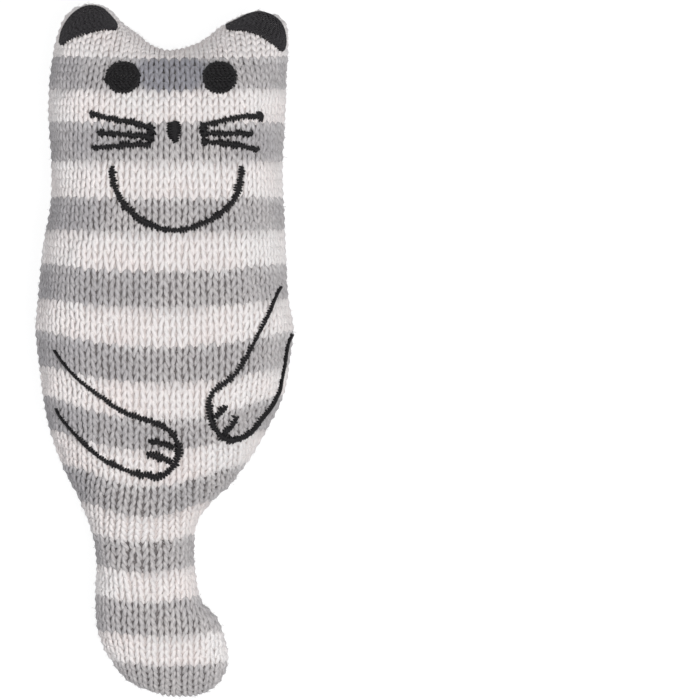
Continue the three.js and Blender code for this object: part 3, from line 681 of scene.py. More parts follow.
# The ear patches get a lighter copy of the black thread: painted light, where the sloping ears catch more of
# it.
EAR_THREAD_PAINTED_LIGHTER = spun_thread("black rayon embroidery thread of the ears, painted lighter", "#110f12", "#232024", 0.32)
SEWING_THREAD = spun_thread("white polyester sewing thread", "#dcd7d3", "#efebe7", 0.25)
TIE_THREAD = spun_thread("undyed cotton tie", "#cfc3a8", "#e2d8bf", 0.1)


def start_tree(name, inputs):
    """A Geometry Nodes tree with named inputs, the function that adds a node to it, and its inputs."""
    tree = bpy.data.node_groups.new(name, "GeometryNodeTree")
    inputs = {"Paths": "Geometry"} | inputs | {"Material": "Material"}
    for key, kind in inputs.items():
        tree.interface.new_socket(key, in_out="INPUT", socket_type=f"NodeSocket{kind}")
    tree.interface.new_socket("Mesh", in_out="OUTPUT", socket_type="NodeSocketGeometry")
    add = partial(add_node, tree)
    return tree, add, add("NodeGroupInput").node.outputs


def finish_tree(add, given, mesh):
    mesh = add("GeometryNodeRealizeInstances", [mesh])
    mesh = add("GeometryNodeSetMaterial", {"Geometry": mesh, "Material": given["Material"]})
    add("NodeGroupOutput", [mesh])


STORE = "GeometryNodeStoreNamedAttribute"
STORED = "GeometryNodeInputNamedAttribute"
RANDOM = "FunctionNodeRandomValue"
RESAMPLE = "GeometryNodeResampleCurve"
TO_MESH = "GeometryNodeCurveToMesh"
CIRCLE = "GeometryNodeCurvePrimitiveCircle"


def sweep(add, given, curve):
    """Sweeps an uneven round strand along a curve, and keeps the strand's own coordinates on it."""
    length = add("GeometryNodeSplineParameter", out="Length")
    curve = add(STORE, {"Geometry": curve, "Name": "yarn_length", "Value": length})
    noise = add(NOISE, {
        "Vector": add("GeometryNodeInputPosition"), "W": given["Seed"], "Scale": 900.0, "Detail": 1.0},
        noise_dimensions="4D")
    wobble = ("MULTIPLY", ("SUBTRACT", noise, 0.5), given["Unevenness"])
    girth = add(STORED, {"Name": "girth"}, data_type="FLOAT")
    scale = ("MULTIPLY", ("ADD", wobble, 1.0), ("MULTIPLY", girth, given["Strand radius"]))
    ring = add(CIRCLE, {"Resolution": given["Sides"], "Radius": 1.0})
    angle = ("MULTIPLY", add("GeometryNodeSplineParameter", out="Factor"), 2 * math.pi)
    around = add("ShaderNodeCombineXYZ", [("COSINE", angle), ("SINE", angle)])
    ring = add(STORE, {"Geometry": ring, "Name": "yarn_ring", "Value": around}, data_type="FLOAT_VECTOR")
    mesh = add(TO_MESH, {"Curve": curve, "Profile Curve": ring, "Scale": scale, "Fill Caps": True})
    finish_tree(add, given, add("GeometryNodeSetShadeSmooth", [mesh]))


STRAND_INPUTS = {"Strand radius": "Float", "Sides": "Int", "Unevenness": "Float", "Seed": "Float"}


def strand_tree():
    """Yarn or thread along given paths."""
    tree, add, given = start_tree("Strand along a path", STRAND_INPUTS)
    sweep(add, given, add("GeometryNodeMeshToCurve", [given["Paths"]]))
    return tree


def satin_tree():
    """Thread laid to and fro across a line: high over its middle and sunk into the knit at its sides."""
    tree, add, given = start_tree("Satin stitch along a path", STRAND_INPUTS | dict.fromkeys(
        ("Spacing", "Arch", "Sink", "Raggedness"), "Float"))
    curve = add("GeometryNodeMeshToCurve", [given["Paths"]])
    curve = add(RESAMPLE, {"Curve": curve, "Length": ("MULTIPLY", given["Spacing"], 0.5)}, mode="LENGTH")
    index = add("GeometryNodeInputIndex")
    swing = ("SINE", ("MULTIPLY", index, math.pi / 2))
    at_side = ("ABSOLUTE", swing)
    random = add(RANDOM, {"ID": index, "Seed": given["Seed"], 2: -1.0, 3: 1.0}, 1, data_type="FLOAT")
    reach = ("MULTIPLY", swing, ("ADD", ("MULTIPLY", random, given["Raggedness"]), 1.0))
    lift = ("SUBTRACT", ("MULTIPLY", ("SUBTRACT", 1.0, at_side), given["Arch"]),
            ("MULTIPLY", at_side, given["Sink"]))
    ways = [add(STORED, {"Name": name}, data_type="FLOAT_VECTOR") for name in ("across", "outward")]
    moves = [
        add(VECTORS, {0: way, "Scale": size}, operation="SCALE") for way, size in zip(ways, (reach, lift))]
    offset = add(VECTORS, moves, operation="ADD")
    curve = add("GeometryNodeSetPosition", {"Geometry": curve, "Offset": offset})
    curve = add("GeometryNodeCurveSplineType", {"Curve": curve}, spline_type="CATMULL_ROM")
    curve = add("GeometryNodeSetSplineResolution", {"Geometry": curve, "Resolution": 3})
    sweep(add, given, add(RESAMPLE, {"Curve": curve}, mode="EVALUATED"))
    return tree


def fuzz_tree():
    """Loose ends of fibre, bent, that stand off the yarn at a share of its points."""
    tree, add, given = start_tree("Loose fibres on yarn", dict.fromkeys(
        ("Share", "Fibre length", "Fibre radius", "Yarn radius"), "Float") | {"Seed": "Int"})
    bend = add("GeometryNodeCurveQuadraticBezier", {
        "Resolution": 3, "Start": (0, 0, 0), "Middle": (0, 0, 0.6), "End": (0.7, 0, 0.9)})
    slim = ("DIVIDE", given["Fibre radius"], given["Fibre length"])
    ring = add(CIRCLE, {"Resolution": 3, "Radius": slim})
    fibre = add(TO_MESH, {"Curve": bend, "Profile Curve": ring, "Fill Caps": True})
    bare = add(STORED, {"Name": "bare"}, data_type="FLOAT")
    seed = given["Seed"]
    chosen = add(RANDOM, {"Probability": ("MULTIPLY", given["Share"], bare), "Seed": seed}, 3,
                 data_type="BOOLEAN")
    anywhere = add(RANDOM, {0: (-1, -1, -1), 1: (1, 1, 1), "Seed": seed}, data_type="FLOAT_VECTOR")
    outward = add(STORED, {"Name": "outward"}, data_type="FLOAT_VECTOR")
    place = add("GeometryNodeInputPosition")
    heading = add(VECTORS, [outward, anywhere], operation="ADD")
    start = add(VECTORS, {0: heading, "Scale": ("MULTIPLY", given["Yarn radius"], 0.45)}, operation="SCALE")
    roots = add("GeometryNodeMeshToPoints", {
        "Mesh": given["Paths"], "Selection": chosen,
        "Position": add(VECTORS, [place, start], operation="ADD")})
    size = add(RANDOM, {2: 0.5, 3: 1.3, "Seed": seed}, 1, data_type="FLOAT")
    fibres = add("GeometryNodeInstanceOnPoints", {
        "Points": roots, "Instance": fibre,
        "Rotation": add("FunctionNodeAlignRotationToVector", {"Vector": heading}, axis="Z"),
        "Scale": ("MULTIPLY", size, given["Fibre length"])})
    mesh = add("GeometryNodeRealizeInstances", [fibres])
    above_floor = add(VECTORS, [place, (-1, -1, 0)], operation="MAXIMUM")
    finish_tree(add, given, add("GeometryNodeSetPosition", {"Geometry": mesh, "Position": above_floor}))
    return tree


STRAND_TREE = strand_tree()
FUZZ_TREE = fuzz_tree()
SATIN_TREE = satin_tree()


def shaped(mesh, *modifiers):
    """The mesh that modifiers make of another. What isn't a setting of a modifier is an input of its tree."""
    carrier = new_object("carrier", mesh)
    for kind, settings in modifiers:
        modifier = carrier.modifiers.new(kind.lower(), kind)
        for key, value in settings.items():
            if hasattr(modifier, key):
                setattr(modifier, key, value)
            else:
                modifier[key] = value
    graph = bpy.context.evaluated_depsgraph_get()
    made = bpy.data.meshes.new_from_object(
        carrier.evaluated_get(graph), preserve_all_data_layers=True, depsgraph=graph)
    bpy.data.objects.remove(carrier)
    bpy.data.meshes.remove(mesh)
    return made


def grown(tree, mesh, inputs):
    """The mesh that a tree makes of another."""
    keys = {item.name: item.identifier for item in tree.interface.items_tree if item.in_out == "INPUT"}
    return shaped(mesh, ("NODES", {"node_group": tree} | {
        keys[name.replace("_", " ")]: value for name, value in inputs.items()}))


def set_fields(mesh, fields):
    """Stores numbers or vectors at the points of a mesh."""
    for name, values in fields.items():
        kind, key = ("FLOAT_VECTOR", "vector") if np.ndim(values) == 2 else ("FLOAT", "value")
        attribute = mesh.attributes.new(name, kind, "POINT")
        attribute.data.foreach_set(key, np.asarray(values, np.float32).ravel())


def grow(tree, points, chains, fields, **inputs):
    """The mesh that a tree makes of chains of points, given in millimetres."""
    mesh = bpy.data.meshes.new("paths")
    edges = [(a, a + 1) for chain in chains for a in chain[:-1]]
    mesh.from_pydata((points * MM).tolist(), edges, [])
    set_fields(mesh, {"girth": np.ones(len(points))} | fields)
    return grown(tree, mesh, inputs)


def piece(name, mesh, replaced):
    """Makes a mesh a piece of the toy, which rides on its one body."""
    made = new_object(name, mesh)
    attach(made, "root")
    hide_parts(replaced)
    return made


def add_wall(made, thickness):
    """Gives an open sheet of padding a thickness inwards."""
    wall = made.modifiers.new("thickness", "SOLIDIFY")
    wall.thickness = thickness * MM
    wall.offset = -1


def grid_mesh(name, points, material, flip=False, **fields):
    faces = grid_quads(*points.shape[:2])
    if flip:
        faces = faces[:, ::-1]
    mesh = bpy.data.meshes.new(name)
    mesh.from_pydata((points.reshape(-1, 3) * MM).tolist(), [], faces.tolist())
    set_fields(mesh, {field: values.ravel() for field, values in fields.items()})
    mesh.shade_smooth()
    mesh.materials.append(material)
    return mesh



# The embroidery, in flat places on the front
WHISKERS = {
    "left_whisker_upper": [(-15.94, 50.9), (-10.83, 49.65), (-6.65, 48.91), (-2.6, 47.7)],
    "left_whisker_middle": [(-14.34, 46.76), (-8.77, 46.39), (-2.06, 45.78)],
    "left_whisker_lower": [(-15.37, 43.45), (-8.77, 44.06), (-2.7, 44.3)],
    "right_whisker_upper": [(8.0, 48.3), (13.06, 49.42), (17.24, 50.33), (21.16, 50.43)],
    "right_whisker_middle": [(7.75, 46.62), (13.42, 46.62), (19.05, 46.62)],
    "right_whisker_lower": [(8.2, 44.8), (13.94, 44.43), (20.28, 43.12)],
}
WHISKER_ROOTS = {
    "left_whisker_middle": [(-3.4, 48.5), (-2.3, 47.3), (-3.5, 46.1), (-2.8, 44.6)],
    "right_whisker_middle": [(7.9, 48.5), (8.9, 47.0), (8.5, 45.6), (9.2, 44.2)],
}
SMILE = [
    (-11.27, 39.48), (-10.47, 34.66), (-8.52, 31.27), (-4.66, 27.9), (0.15, 25.98), (3.05, 25.74),
    (7.87, 26.95), (12.68, 29.84), (15.58, 33.21), (16.53, 37.06), (16.79, 39.48),
]
LEFT_ARM = [
    (-23.58, -0.07), (-21.38, -3.16), (-18.07, -6.68), (-13.67, -9.99), (-10.36, -12.43),
    (-4.86, -14.85), (-2.2, -15.5), (0.67, -17.06), (2.42, -19.05), (3.31, -21.68), (2.64, -24.1),
    (1.11, -26.09), (-0.88, -27.2), (-3.75, -26.98), (-7.06, -26.31), (-12.57, -23.89),
    (-15.87, -21.47), (-19.18, -18.14), (-22.48, -14.18), (-23.26, -12.65),
]
RIGHT_ARM = [
    (25.06, 13.59), (24.18, 11.84), (22.7, 8.12), (21.71, 6.13), (19.47, 1.7), (16.25, -4.03),
    (14.26, -6.25), (12.03, -8.0), (10.28, -9.49), (9.81, -11.98), (9.92, -14.47), (11.04, -16.93),
    (12.53, -18.68), (14.52, -19.44), (16.98, -18.91), (19.27, -17.19), (21.15, -14.68),
    (23.48, -11.7), (24.21, -10.1), (24.92, -8.5), (25.16, -6.8), (25.54, -5.0), (25.95, -3.2),
    (26.13, -1.4), (26.37, 0.2), (26.66, 1.6), (27.15, 2.6), (27.45, 3.4),
]
LEFT_ARM_WIDTHS = [0.5, 0.9, 1.2, 1.5, 1.9, 1.8, 1.5, 1.0, 0.45]
RIGHT_ARM_WIDTHS = [0.5, 0.95, 1.1, 1.25, 1.5, 1.85, 1.9, 1.3, 0.7, 0.35, 0.25]
TOES = {
    "left_toe_upper": [(-3.19, -19.91), (-2.05, -19.65), (-0.1, -20.3), (2.4, -20.9)],
    "left_toe_lower": [(-3.75, -22.46), (-1.31, -23.0), (1.6, -24.2)],
    "right_toe_upper": [(13.53, -11.98), (12.48, -13.27), (10.9, -14.6)],
    "right_toe_lower": [(15.75, -14.2), (14.52, -16.69), (12.7, -18.0)],
}
EAR_PATCHES = {
    "left_ear_patch": (
        [(-22.35, 66.3), (-21.95, 68.6), (-20.85, 70.8), (-19.2, 72.7), (-17.2, 73.85), (-15.5, 74.0),
         (-13.7, 73.6), (-12.5, 72.6), (-11.35, 71.35), (-10.4, 70.1)],
        [(-22.2, 65.8), (-20.9, 66.95), (-18.42, 68.0), (-15.94, 68.75), (-13.6, 69.3), (-10.5, 69.4)]),
    "right_ear_patch": (
        [(13.5, 69.95), (15.9, 71.15), (18.2, 72.2), (20.4, 72.75), (22.5, 72.25), (24.35, 71.1),
         (25.4, 69.5), (25.85, 67.4), (25.8, 65.3)],
        [(13.6, 69.3), (16.26, 69.3), (18.7, 68.85), (20.9, 67.95), (23.3, 66.4), (25.5, 64.7)]),
}
EYES = {"left_eye": (-8.8, 58.7), "right_eye": (12.0, 58.7)}
EYE_WIDTH = 3.68
EYE_HEIGHT = 3.48
EYE_FILL_INSET = 0.25
EYE_RIM_INSET = 0.45
EYE_SPUR = [(-12.2, 59.3), (-12.55, 58.3), (-12.2, 57.3)]
NOSE = [(2.1, 49.15), (2.15, 47.4), (2.4, 45.8), (2.6, 44.7)]


# How far from the middle of a thread line no fibre of the yarn stands up
THREAD_REACH = 1.2


def embroidered(places):
    """Which flat places lie under the embroidery of the front."""
    lines = [*WHISKERS.values(), *WHISKER_ROOTS.values(), SMILE, LEFT_ARM, RIGHT_ARM, *TOES.values(), NOSE]
    for x, y in EYES.values():
        lines += [[(x - 3, y + height), (x + 3, y + height)] for height in range(-3, 4)]
    for outer, lower in EAR_PATCHES.values():
        shares = np.linspace(0, 1, 12)
        top, base = along(smooth_path(outer), shares), along(smooth_path(lower), shares)
        lines += [top + (base - top) * mixing for mixing in (0, 0.25, 0.5, 0.75, 1)]
    marks = np.vstack([along(smooth_path(line), np.linspace(0, 1, 50)) for line in lines])
    near = np.zeros(len(places), bool)
    for mark in marks:
        near |= ((places - mark) ** 2).sum(axis=1) < THREAD_REACH**2
    return near


faces = [panel_face(1, FRONT_SWELL), panel_face(-1, BACK_SWELL)]
faces = pressed_out(*faces)
knits = {"front": knit_of(faces[0], 1), "back": knit_of(faces[1], -1)}
GROUND_THICKNESS = 0.5
for panel, knit in knits.items():
    fabric = fabric_table(knit)
    for colour, material, loose in (("white", WHITE_YARN, WHITE_FUZZ), ("grey", GREY_YARN, GREY_FUZZ)):
        points, chains, fields = course_paths(fabric, colour == "grey")
        mesh = grow(STRAND_TREE, points, chains, fields, Strand_radius=YARN_RADIUS * MM, Sides=6,
                    Unevenness=0.25, Seed=1.0, Material=material)
        piece(f"{panel}_{colour}_yarn", mesh, f"{panel}_panel")
        bare = 1 - embroidered(points[:, :2]) if panel == "front" else np.ones(len(points))
        mesh = grow(FUZZ_TREE, points, chains, fields | {"bare": bare}, Share=FUZZ_SHARE,
                    Fibre_length=FUZZ_LENGTH * MM, Fibre_radius=FUZZ_RADIUS * MM,
                    Yarn_radius=YARN_RADIUS * MM, Seed=4, Material=loose)
        piece(f"{panel}_{colour}_fuzz", mesh, f"{panel}_panel")
    name = f"{panel}_knit_ground"
    mesh = grid_mesh(name, knit["ground"], GROUND, panel == "back", course=knit["course"])
    add_wall(piece(name, mesh, f"{panel}_panel"), GROUND_THICKNESS)

# How finely the lines of the embroidery are divided, how high the thread stands over the knit and how
# deep it goes in at its stitches, and how near the rows lie that fill a shape
BLACK_THREAD_RADIUS = 0.2
SATIN = {"Strand_radius": BLACK_THREAD_RADIUS * MM, "Sides": 5, "Unevenness": 0.2}
WAVER_LENGTH = 1.3
LINE_STEP = 0.2
LEAST_REACH = 0.04
STITCH_LIFT = 0.15
STITCH_ARCH = 0.3
STITCH_SINK = 0.35
FILL_STEP = 0.22
FILL_ARCH = 0.4
FILL_SINK = 0.05
ROW_SPACING = 0.33
inner = slice(FOLD_STEPS, -FOLD_STEPS)
front_face = np.concatenate([knits["front"][key][inner, inner] for key in ("points", "normals")], axis=-1)


def on_front(places):
    """Points and normals of the front over flat places."""
    places = np.asarray(places, float)
    lines = lines_at(front_face, front_face[..., 1], places[:, 1])
    before = np.clip((lines[..., 0] < places[:, :1]).sum(axis=1) - 1, 0, lines.shape[1] - 2)
    each = np.arange(len(places))
    low, high = lines[each, before], lines[each, before + 1]
    share = np.clip((places[:, 0] - low[:, 0]) / np.maximum(high[:, 0] - low[:, 0], 1e-6), 0, 1)[:, None]
    found = low * (1 - share) + high * share
    return found[:, :3], unit(found[:, 3:])


def length_of(points):
    return np.linalg.norm(np.diff(points, axis=0), axis=1).sum()


def satin_line(points, widths, seed, spacing=0.3, ragged=0.16, waver=0.1, thread=BLACK_THREAD):
    """Satin stitches across a line, whose width changes from each of the widths to the next."""
    random = np.random.default_rng(seed)
    fine = smooth_path(points)
    shares = np.linspace(0, 1, max(int(length_of(fine) / LINE_STEP), 8))
    path = along(fine, shares)
    heading = unit(np.gradient(path, axis=0))
    aside = np.stack([-heading[:, 1], heading[:, 0]], 1)
    swells = random.normal(1, waver, max(int(length_of(fine) / WAVER_LENGTH), 2))
    width, swell = [np.interp(shares, np.linspace(0, 1, len(values)), values) for values in (widths, swells)]
    reach = aside * np.maximum(width * swell / 2 - BLACK_THREAD_RADIUS, LEAST_REACH)[:, None]
    middle, normals = on_front(path)
    across = (on_front(path + reach)[0] - on_front(path - reach)[0]) / 2
    return grow(SATIN_TREE, middle + normals * STITCH_LIFT, [range(len(path))],
                {"across": across * MM, "outward": normals},
                **SATIN, Seed=seed, Material=thread, Spacing=spacing * MM, Arch=STITCH_ARCH * MM,
                Sink=STITCH_SINK * MM, Raggedness=ragged)


def fill_rows(rows, seed, stitch=1.0, thread=BLACK_THREAD):
    """Thread laid row beside row in short stitches, which start at another place in each row."""
    starts = np.random.default_rng(seed).random(len(rows))
    path, lifts = [], []
    for number, row in enumerate(rows):
        row = np.array(row[::-1] if number % 2 else row)
        fine = along(row, np.linspace(0, 1, max(int(length_of(row) / FILL_STEP), 3)))
        travelled = np.linspace(0, length_of(fine), len(fine))
        path.append(fine)
        lifts.append(FILL_ARCH * np.abs(np.sin(np.pi * (travelled / stitch + starts[number]))) ** 0.6)
    middle, normals = on_front(np.vstack(path))
    middle = middle + normals * (np.concatenate(lifts) - FILL_SINK)[:, None]
    return grow(STRAND_TREE, middle, [range(len(middle))], {}, **SATIN, Seed=seed, Material=thread)


def joined(name, meshes):
    """One mesh of several that were grown alike."""
    corners, faces, lengths, rings = [], [], [], []
    for mesh in meshes:
        start = len(corners)
        corners.extend(vertex.co[:] for vertex in mesh.vertices)
        faces.extend([start + index for index in polygon.vertices] for polygon in mesh.polygons)
        lengths.extend(item.value for item in mesh.attributes["yarn_length"].data)
        rings.extend(item.vector[:] for item in mesh.attributes["yarn_ring"].data)
    made = bpy.data.meshes.new(name)
    made.from_pydata(corners, [], faces)
    set_fields(made, {"yarn_length": lengths, "yarn_ring": rings})
    made.shade_smooth()
    made.materials.append(meshes[0].materials[0])
    return made


def embroider(name, *meshes):
    mesh = joined(name, meshes) if len(meshes) > 1 else meshes[0]
    piece(f"{name}_stitches", mesh, name)


for number, (name, line) in enumerate(WHISKERS.items()):
    parts = [satin_line(line, [1.55, 1.6, 1.65], number, ragged=0.55)]
    if name in WHISKER_ROOTS:
        parts.append(satin_line(WHISKER_ROOTS[name], [1.6, 1.9, 1.3, 1.7], number + 20, ragged=0.4))
    embroider(name, *parts)
embroider("smile", satin_line(SMILE, [1.75, 1.7, 1.7, 1.7, 2.05], 7, ragged=0.5))
for side, line, widths, seed in (
        ("left", LEFT_ARM, LEFT_ARM_WIDTHS, 8), ("right", RIGHT_ARM, RIGHT_ARM_WIDTHS, 9)):
    stitches = satin_line(line, widths, seed, spacing=0.31, ragged=0.5, waver=0.14)
    embroider(f"{side}_arm_outline", stitches)
for number, (name, line) in enumerate(TOES.items()):
    embroider(name, satin_line(line, [1.6, 1.9, 1.8], number + 10, ragged=0.5))
embroider("nose", satin_line(NOSE, [2.5, 3.3, 3.6, 3.1, 2.4, 1.5], 14, spacing=0.26, ragged=0.14, waver=0.03))
for name, (x, y) in EYES.items():
    rows = []
    for height in np.arange(-EYE_HEIGHT + 0.4, EYE_HEIGHT - 0.3, ROW_SPACING):
        reach = math.sqrt(1 - (height / EYE_HEIGHT) ** 2) * EYE_WIDTH - EYE_FILL_INSET
        rows.append([(x - reach, y + height), (x + reach, y + height)])
    turns = np.linspace(0, 2 * np.pi, 40)
    rim = np.stack([
        x + (EYE_WIDTH - EYE_RIM_INSET) * np.cos(turns), y + (EYE_HEIGHT - EYE_RIM_INSET) * np.sin(turns)], 1)
    parts = [fill_rows(rows, 15), satin_line(rim, [1.3], 16, spacing=0.32, ragged=0.5)]
    if x < 0:
        parts.append(satin_line(EYE_SPUR, [0.5, 1.0, 0.5], 19, ragged=0.5))
    embroider(name, *parts)
for name, (outer, lower) in EAR_PATCHES.items():
    shares = np.linspace(0, 1, 60)
    top, base = along(smooth_path(outer), shares), along(smooth_path(lower), shares)
    count = int(np.linalg.norm(top - base, axis=1).max() / ROW_SPACING)
    rows = [top + (base - top) * mixing for mixing in np.linspace(0.06, 0.94, count)]
    rim = np.vstack([top, base[::-1], top[:1]])[::3]
    embroider(name, fill_rows(rows, 17, thread=EAR_THREAD_PAINTED_LIGHTER),
              satin_line(rim, [0.9], 18, spacing=0.32, ragged=0.2, thread=EAR_THREAD_PAINTED_LIGHTER))


# White sewing thread across the groove between the two panels. The opening for the stuffing, on the
# left side of the trunk, is closed by hand in longer stitches of doubled thread.
SEAM_SINK = 0.75
STITCH_REACH = 1.15
SEAM_STITCH = 2.4
HAND_STITCH = 3.2
OPENING_ENDS = (4.4, 31.4)
front_points = front_face[..., :3]
rim_out = rim_loop(rim_directions(front_points))
seam_line = rim_loop(front_points) - (0, 0, SEAM_RISE) - rim_out * SEAM_SINK
up_the_side = seam_line[:ROWS + 1, 1]
opening = np.flatnonzero((up_the_side > OPENING_ENDS[0]) & (up_the_side < OPENING_ENDS[1]))
round_the_rest = np.arange(opening[-1] + 1, len(seam_line) + opening[0]) % len(seam_line)


def sew(name, places, stitch, radius, slant):
    line = seam_line[places]
    out = rim_out[places]
    across = unit(np.gradient(line, axis=0)) * slant + (0, 0, STITCH_REACH)
    mesh = grow(SATIN_TREE, line, [range(len(line))], {"across": across * MM, "outward": out},
                Strand_radius=radius * MM, Sides=6, Unevenness=0.2, Seed=3.0, Material=SEWING_THREAD,
                Spacing=stitch * MM, Arch=STITCH_ARCH * MM, Sink=STITCH_ARCH * MM, Raggedness=0.12)
    piece(f"{name}_stitches", mesh, name)


sew("seam_thread", round_the_rest, SEAM_STITCH, 0.18, 0)
sew("closing_thread", opening, HAND_STITCH, 0.26, 0.5)


def polyester_fibre():
    """Crimped hollow polyester fibre, carded into a loose white mass: matt, with pulled strands in it."""
    material, add = start_material("carded polyester fibre")
    place = add("ShaderNodeTexCoord", out="Object")
    stretched = add("ShaderNodeMapping", {"Vector": place, "Scale": (1.0, 0.35, 1.0)})
    strands = add(NOISE, {"Vector": stretched, "Scale": 1400.0, "Detail": 4.0, "Distortion": 1.5})
    clumps = add(NOISE, {"Vector": place, "Scale": 220.0, "Detail": 2.0})
    # Lighter where the strands and clumps stand high, darker where they are low: painted light and shade on
    # the white fibre.
    mixing = ("MULTIPLY", strands, clumps)
    finish_material(
        add, "#d9d9d6", [(("MULTIPLY", mixing, 1.8), "#f4f4f1")], 0.9, 0.3, mixing, (0.8, 0.4), (0.4, 0.5))
    return material


FIBRE = polyester_fibre()
CLUMP_DEPTH = 0.8
CLUMP_WIDTH = 7.0
FILLING_GRAIN = 1.5


def weld(mesh, distance, closed_below=None):
    """Joins corners that lie together. If a height is given, closes the ends below it and turns the
    mesh outside out."""
    shell = bmesh.new()
    shell.from_mesh(mesh)
    bmesh.ops.remove_doubles(shell, verts=shell.verts, dist=distance * MM)
    if closed_below is not None:
        ends = [edge for edge in shell.edges
                if edge.is_boundary and max(corner.co.y for corner in edge.verts) < closed_below * MM]
        bmesh.ops.holes_fill(shell, edges=ends, sides=0)
        bmesh.ops.recalc_face_normals(shell, faces=shell.faces)
    shell.to_mesh(mesh)
    shell.free()


for name in ("head_filling", "body_filling", "tail_filling"):
    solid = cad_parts[name].data.copy()
    weld(solid, 0.01)
    mesh = shaped(
        solid, ("REMESH", {"mode": "VOXEL", "voxel_size": FILLING_GRAIN * MM}),
        ("SMOOTH", {"factor": 0.5, "iterations": 3}))
    points, normals = np.empty((2, len(mesh.vertices) * 3))
    mesh.vertices.foreach_get("co", points)
    mesh.vertex_normals.foreach_get("vector", normals)
    points, normals = points.reshape(-1, 3) / MM, normals.reshape(-1, 3)
    points = points - normals * (lumps(points, CLUMP_WIDTH) * CLUMP_DEPTH)[:, None]
    mesh.vertices.foreach_set("co", (points * MM).ravel())
    mesh.materials.clear()
    mesh.materials.append(FIBRE)
    mesh.shade_smooth()
    mass = piece(f"{name}_fibre", mesh, name)
    finer = mass.modifiers.new("finer", "SUBSURF")
    finer.levels = finer.render_levels = 1


# The bag of catnip: muslin gathered at the neck and tied with a few turns of cotton. Its outline is
# given in shares of its radius and of its length, from the foot to the neck.
POUCH_OUTLINE = [(0.02, 0), (0.6, 0.03), (0.92, 0.16), (1, 0.4), (0.98, 0.66), (0.74, 0.88)]
POUCH_RADIUS = 7.0
POUCH_LENGTH = 24.0
NECK_RADIUS = 2.2
FRILL_RADIUS = 3.4
FRILL_LENGTH = 4.0
PLEATS = 13
PLEAT_DEPTH = 0.14
MUSLIN_THREAD = 0.5
MUSLIN_THICKNESS = 0.35
DENT_WIDTH = 6.0
pouch_low, pouch_high = [np.array(corner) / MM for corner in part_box("catnip_pouch")]
pouch_foot = np.array([0, pouch_low[1], (pouch_low[2] + pouch_high[2]) / 2])


def turned(profile, sides, pleating, bumpiness):
    """A closed grid of points round the bag's axis, with pleats that deepen as asked along the profile."""
    angles = np.linspace(0, 2 * np.pi, sides + 1)
    aside = np.stack([np.cos(angles), np.zeros_like(angles), np.sin(angles)], axis=-1)
    reach = profile[:, :1] * (1 + pleating[:, None] * np.cos(PLEATS * angles))
    points = reach[..., None] * aside + profile[:, None, 1:] * (0, 1, 0)
    lift = bumpiness * (lumps(points, DENT_WIDTH) - 1)
    return points + aside * (lift * np.minimum(1, reach / 2))[..., None] + pouch_foot, angles


def muslin():
    """Unbleached cotton muslin in plain weave: one thread over, one under, twice to the millimetre."""
    material, add = start_material("unbleached cotton muslin")
    waves = [
        ("SINE", ("MULTIPLY", add(ATTRIBUTE, out="Fac", attribute_name=way), math.pi / MUSLIN_THREAD))
        for way in ("around", "up")]
    place = add("ShaderNodeTexCoord", out="Object")
    slubs = add(NOISE, {"Vector": place, "Scale": 900.0, "Detail": 3.0})
    # The weave is lighter where its relief is high and darker where it is low: painted light and shade on the
    # threads, with the slubs' own tone in it.
    height = ("MULTIPLY_ADD", slubs, 0.5, ("ABSOLUTE", ("MULTIPLY", *waves)))
    finish_material(add, "#b9aa88", [(height, "#e6dcc3")], 0.95, 0.15, height, (0.7, 0.15))
    return material


outline = np.array(POUCH_OUTLINE) * (POUCH_RADIUS, POUCH_LENGTH)
neck = [(NECK_RADIUS, POUCH_LENGTH), (FRILL_RADIUS, POUCH_LENGTH + FRILL_LENGTH)]
bag_profile = along(smooth_path(np.vstack([outline, neck])), np.linspace(0, 1, 70))
depths = smoothstep(bag_profile[:, 1], 0.5 * POUCH_LENGTH, POUCH_LENGTH) * PLEAT_DEPTH
bag, angles = turned(bag_profile, 130, depths, 0.5)
mesh = grid_mesh(
    "muslin bag", bag, muslin(), around=np.repeat(angles[None] * POUCH_RADIUS, len(bag), axis=0),
    up=np.repeat(bag_profile[:, 1:], len(angles), axis=1))
weld(mesh, 0.001, pouch_foot[1] + 1)
add_wall(piece("muslin_bag", mesh, "catnip_pouch"), MUSLIN_THICKNESS)

# A few turns of cotton round the neck of the bag
TIE_TURNS = 3.5
TIE_REACH = 2.85
TIE_RISE = 0.5
steps = np.linspace(0, TIE_TURNS * 2 * np.pi, 150)
tie_line = np.stack([
    TIE_REACH * np.cos(steps), POUCH_LENGTH + (steps / steps[-1] - 0.5) * TIE_RISE,
    TIE_REACH * np.sin(steps)], axis=1) + pouch_foot
mesh = grow(STRAND_TREE, tie_line, [range(len(tie_line))], {}, Strand_radius=0.2 * MM, Sides=6,
            Unevenness=0.15, Seed=5.0, Material=TIE_THREAD)
piece("cotton_tie", mesh, "pouch_tie")


def crushed_leaf():
    """Dried catnip leaf, rubbed small: dull grey-green with paler stalk in it."""
    material, add = start_material("dried catnip leaf")
    place = add("ShaderNodeTexCoord", out="Object")
    flecks = add("ShaderNodeTexVoronoi", {"Vector": place, "Scale": 1100.0}, "Color")
    pale = add("ShaderNodeSeparateColor", [flecks])
    veins = add(NOISE, {"Vector": place, "Scale": 2600.0, "Detail": 3.0})
    finish_material(add, "#5c6040", [(pale, "#9a966c")], 0.9, 0.2, veins, (0.8, 0.2))
    return material


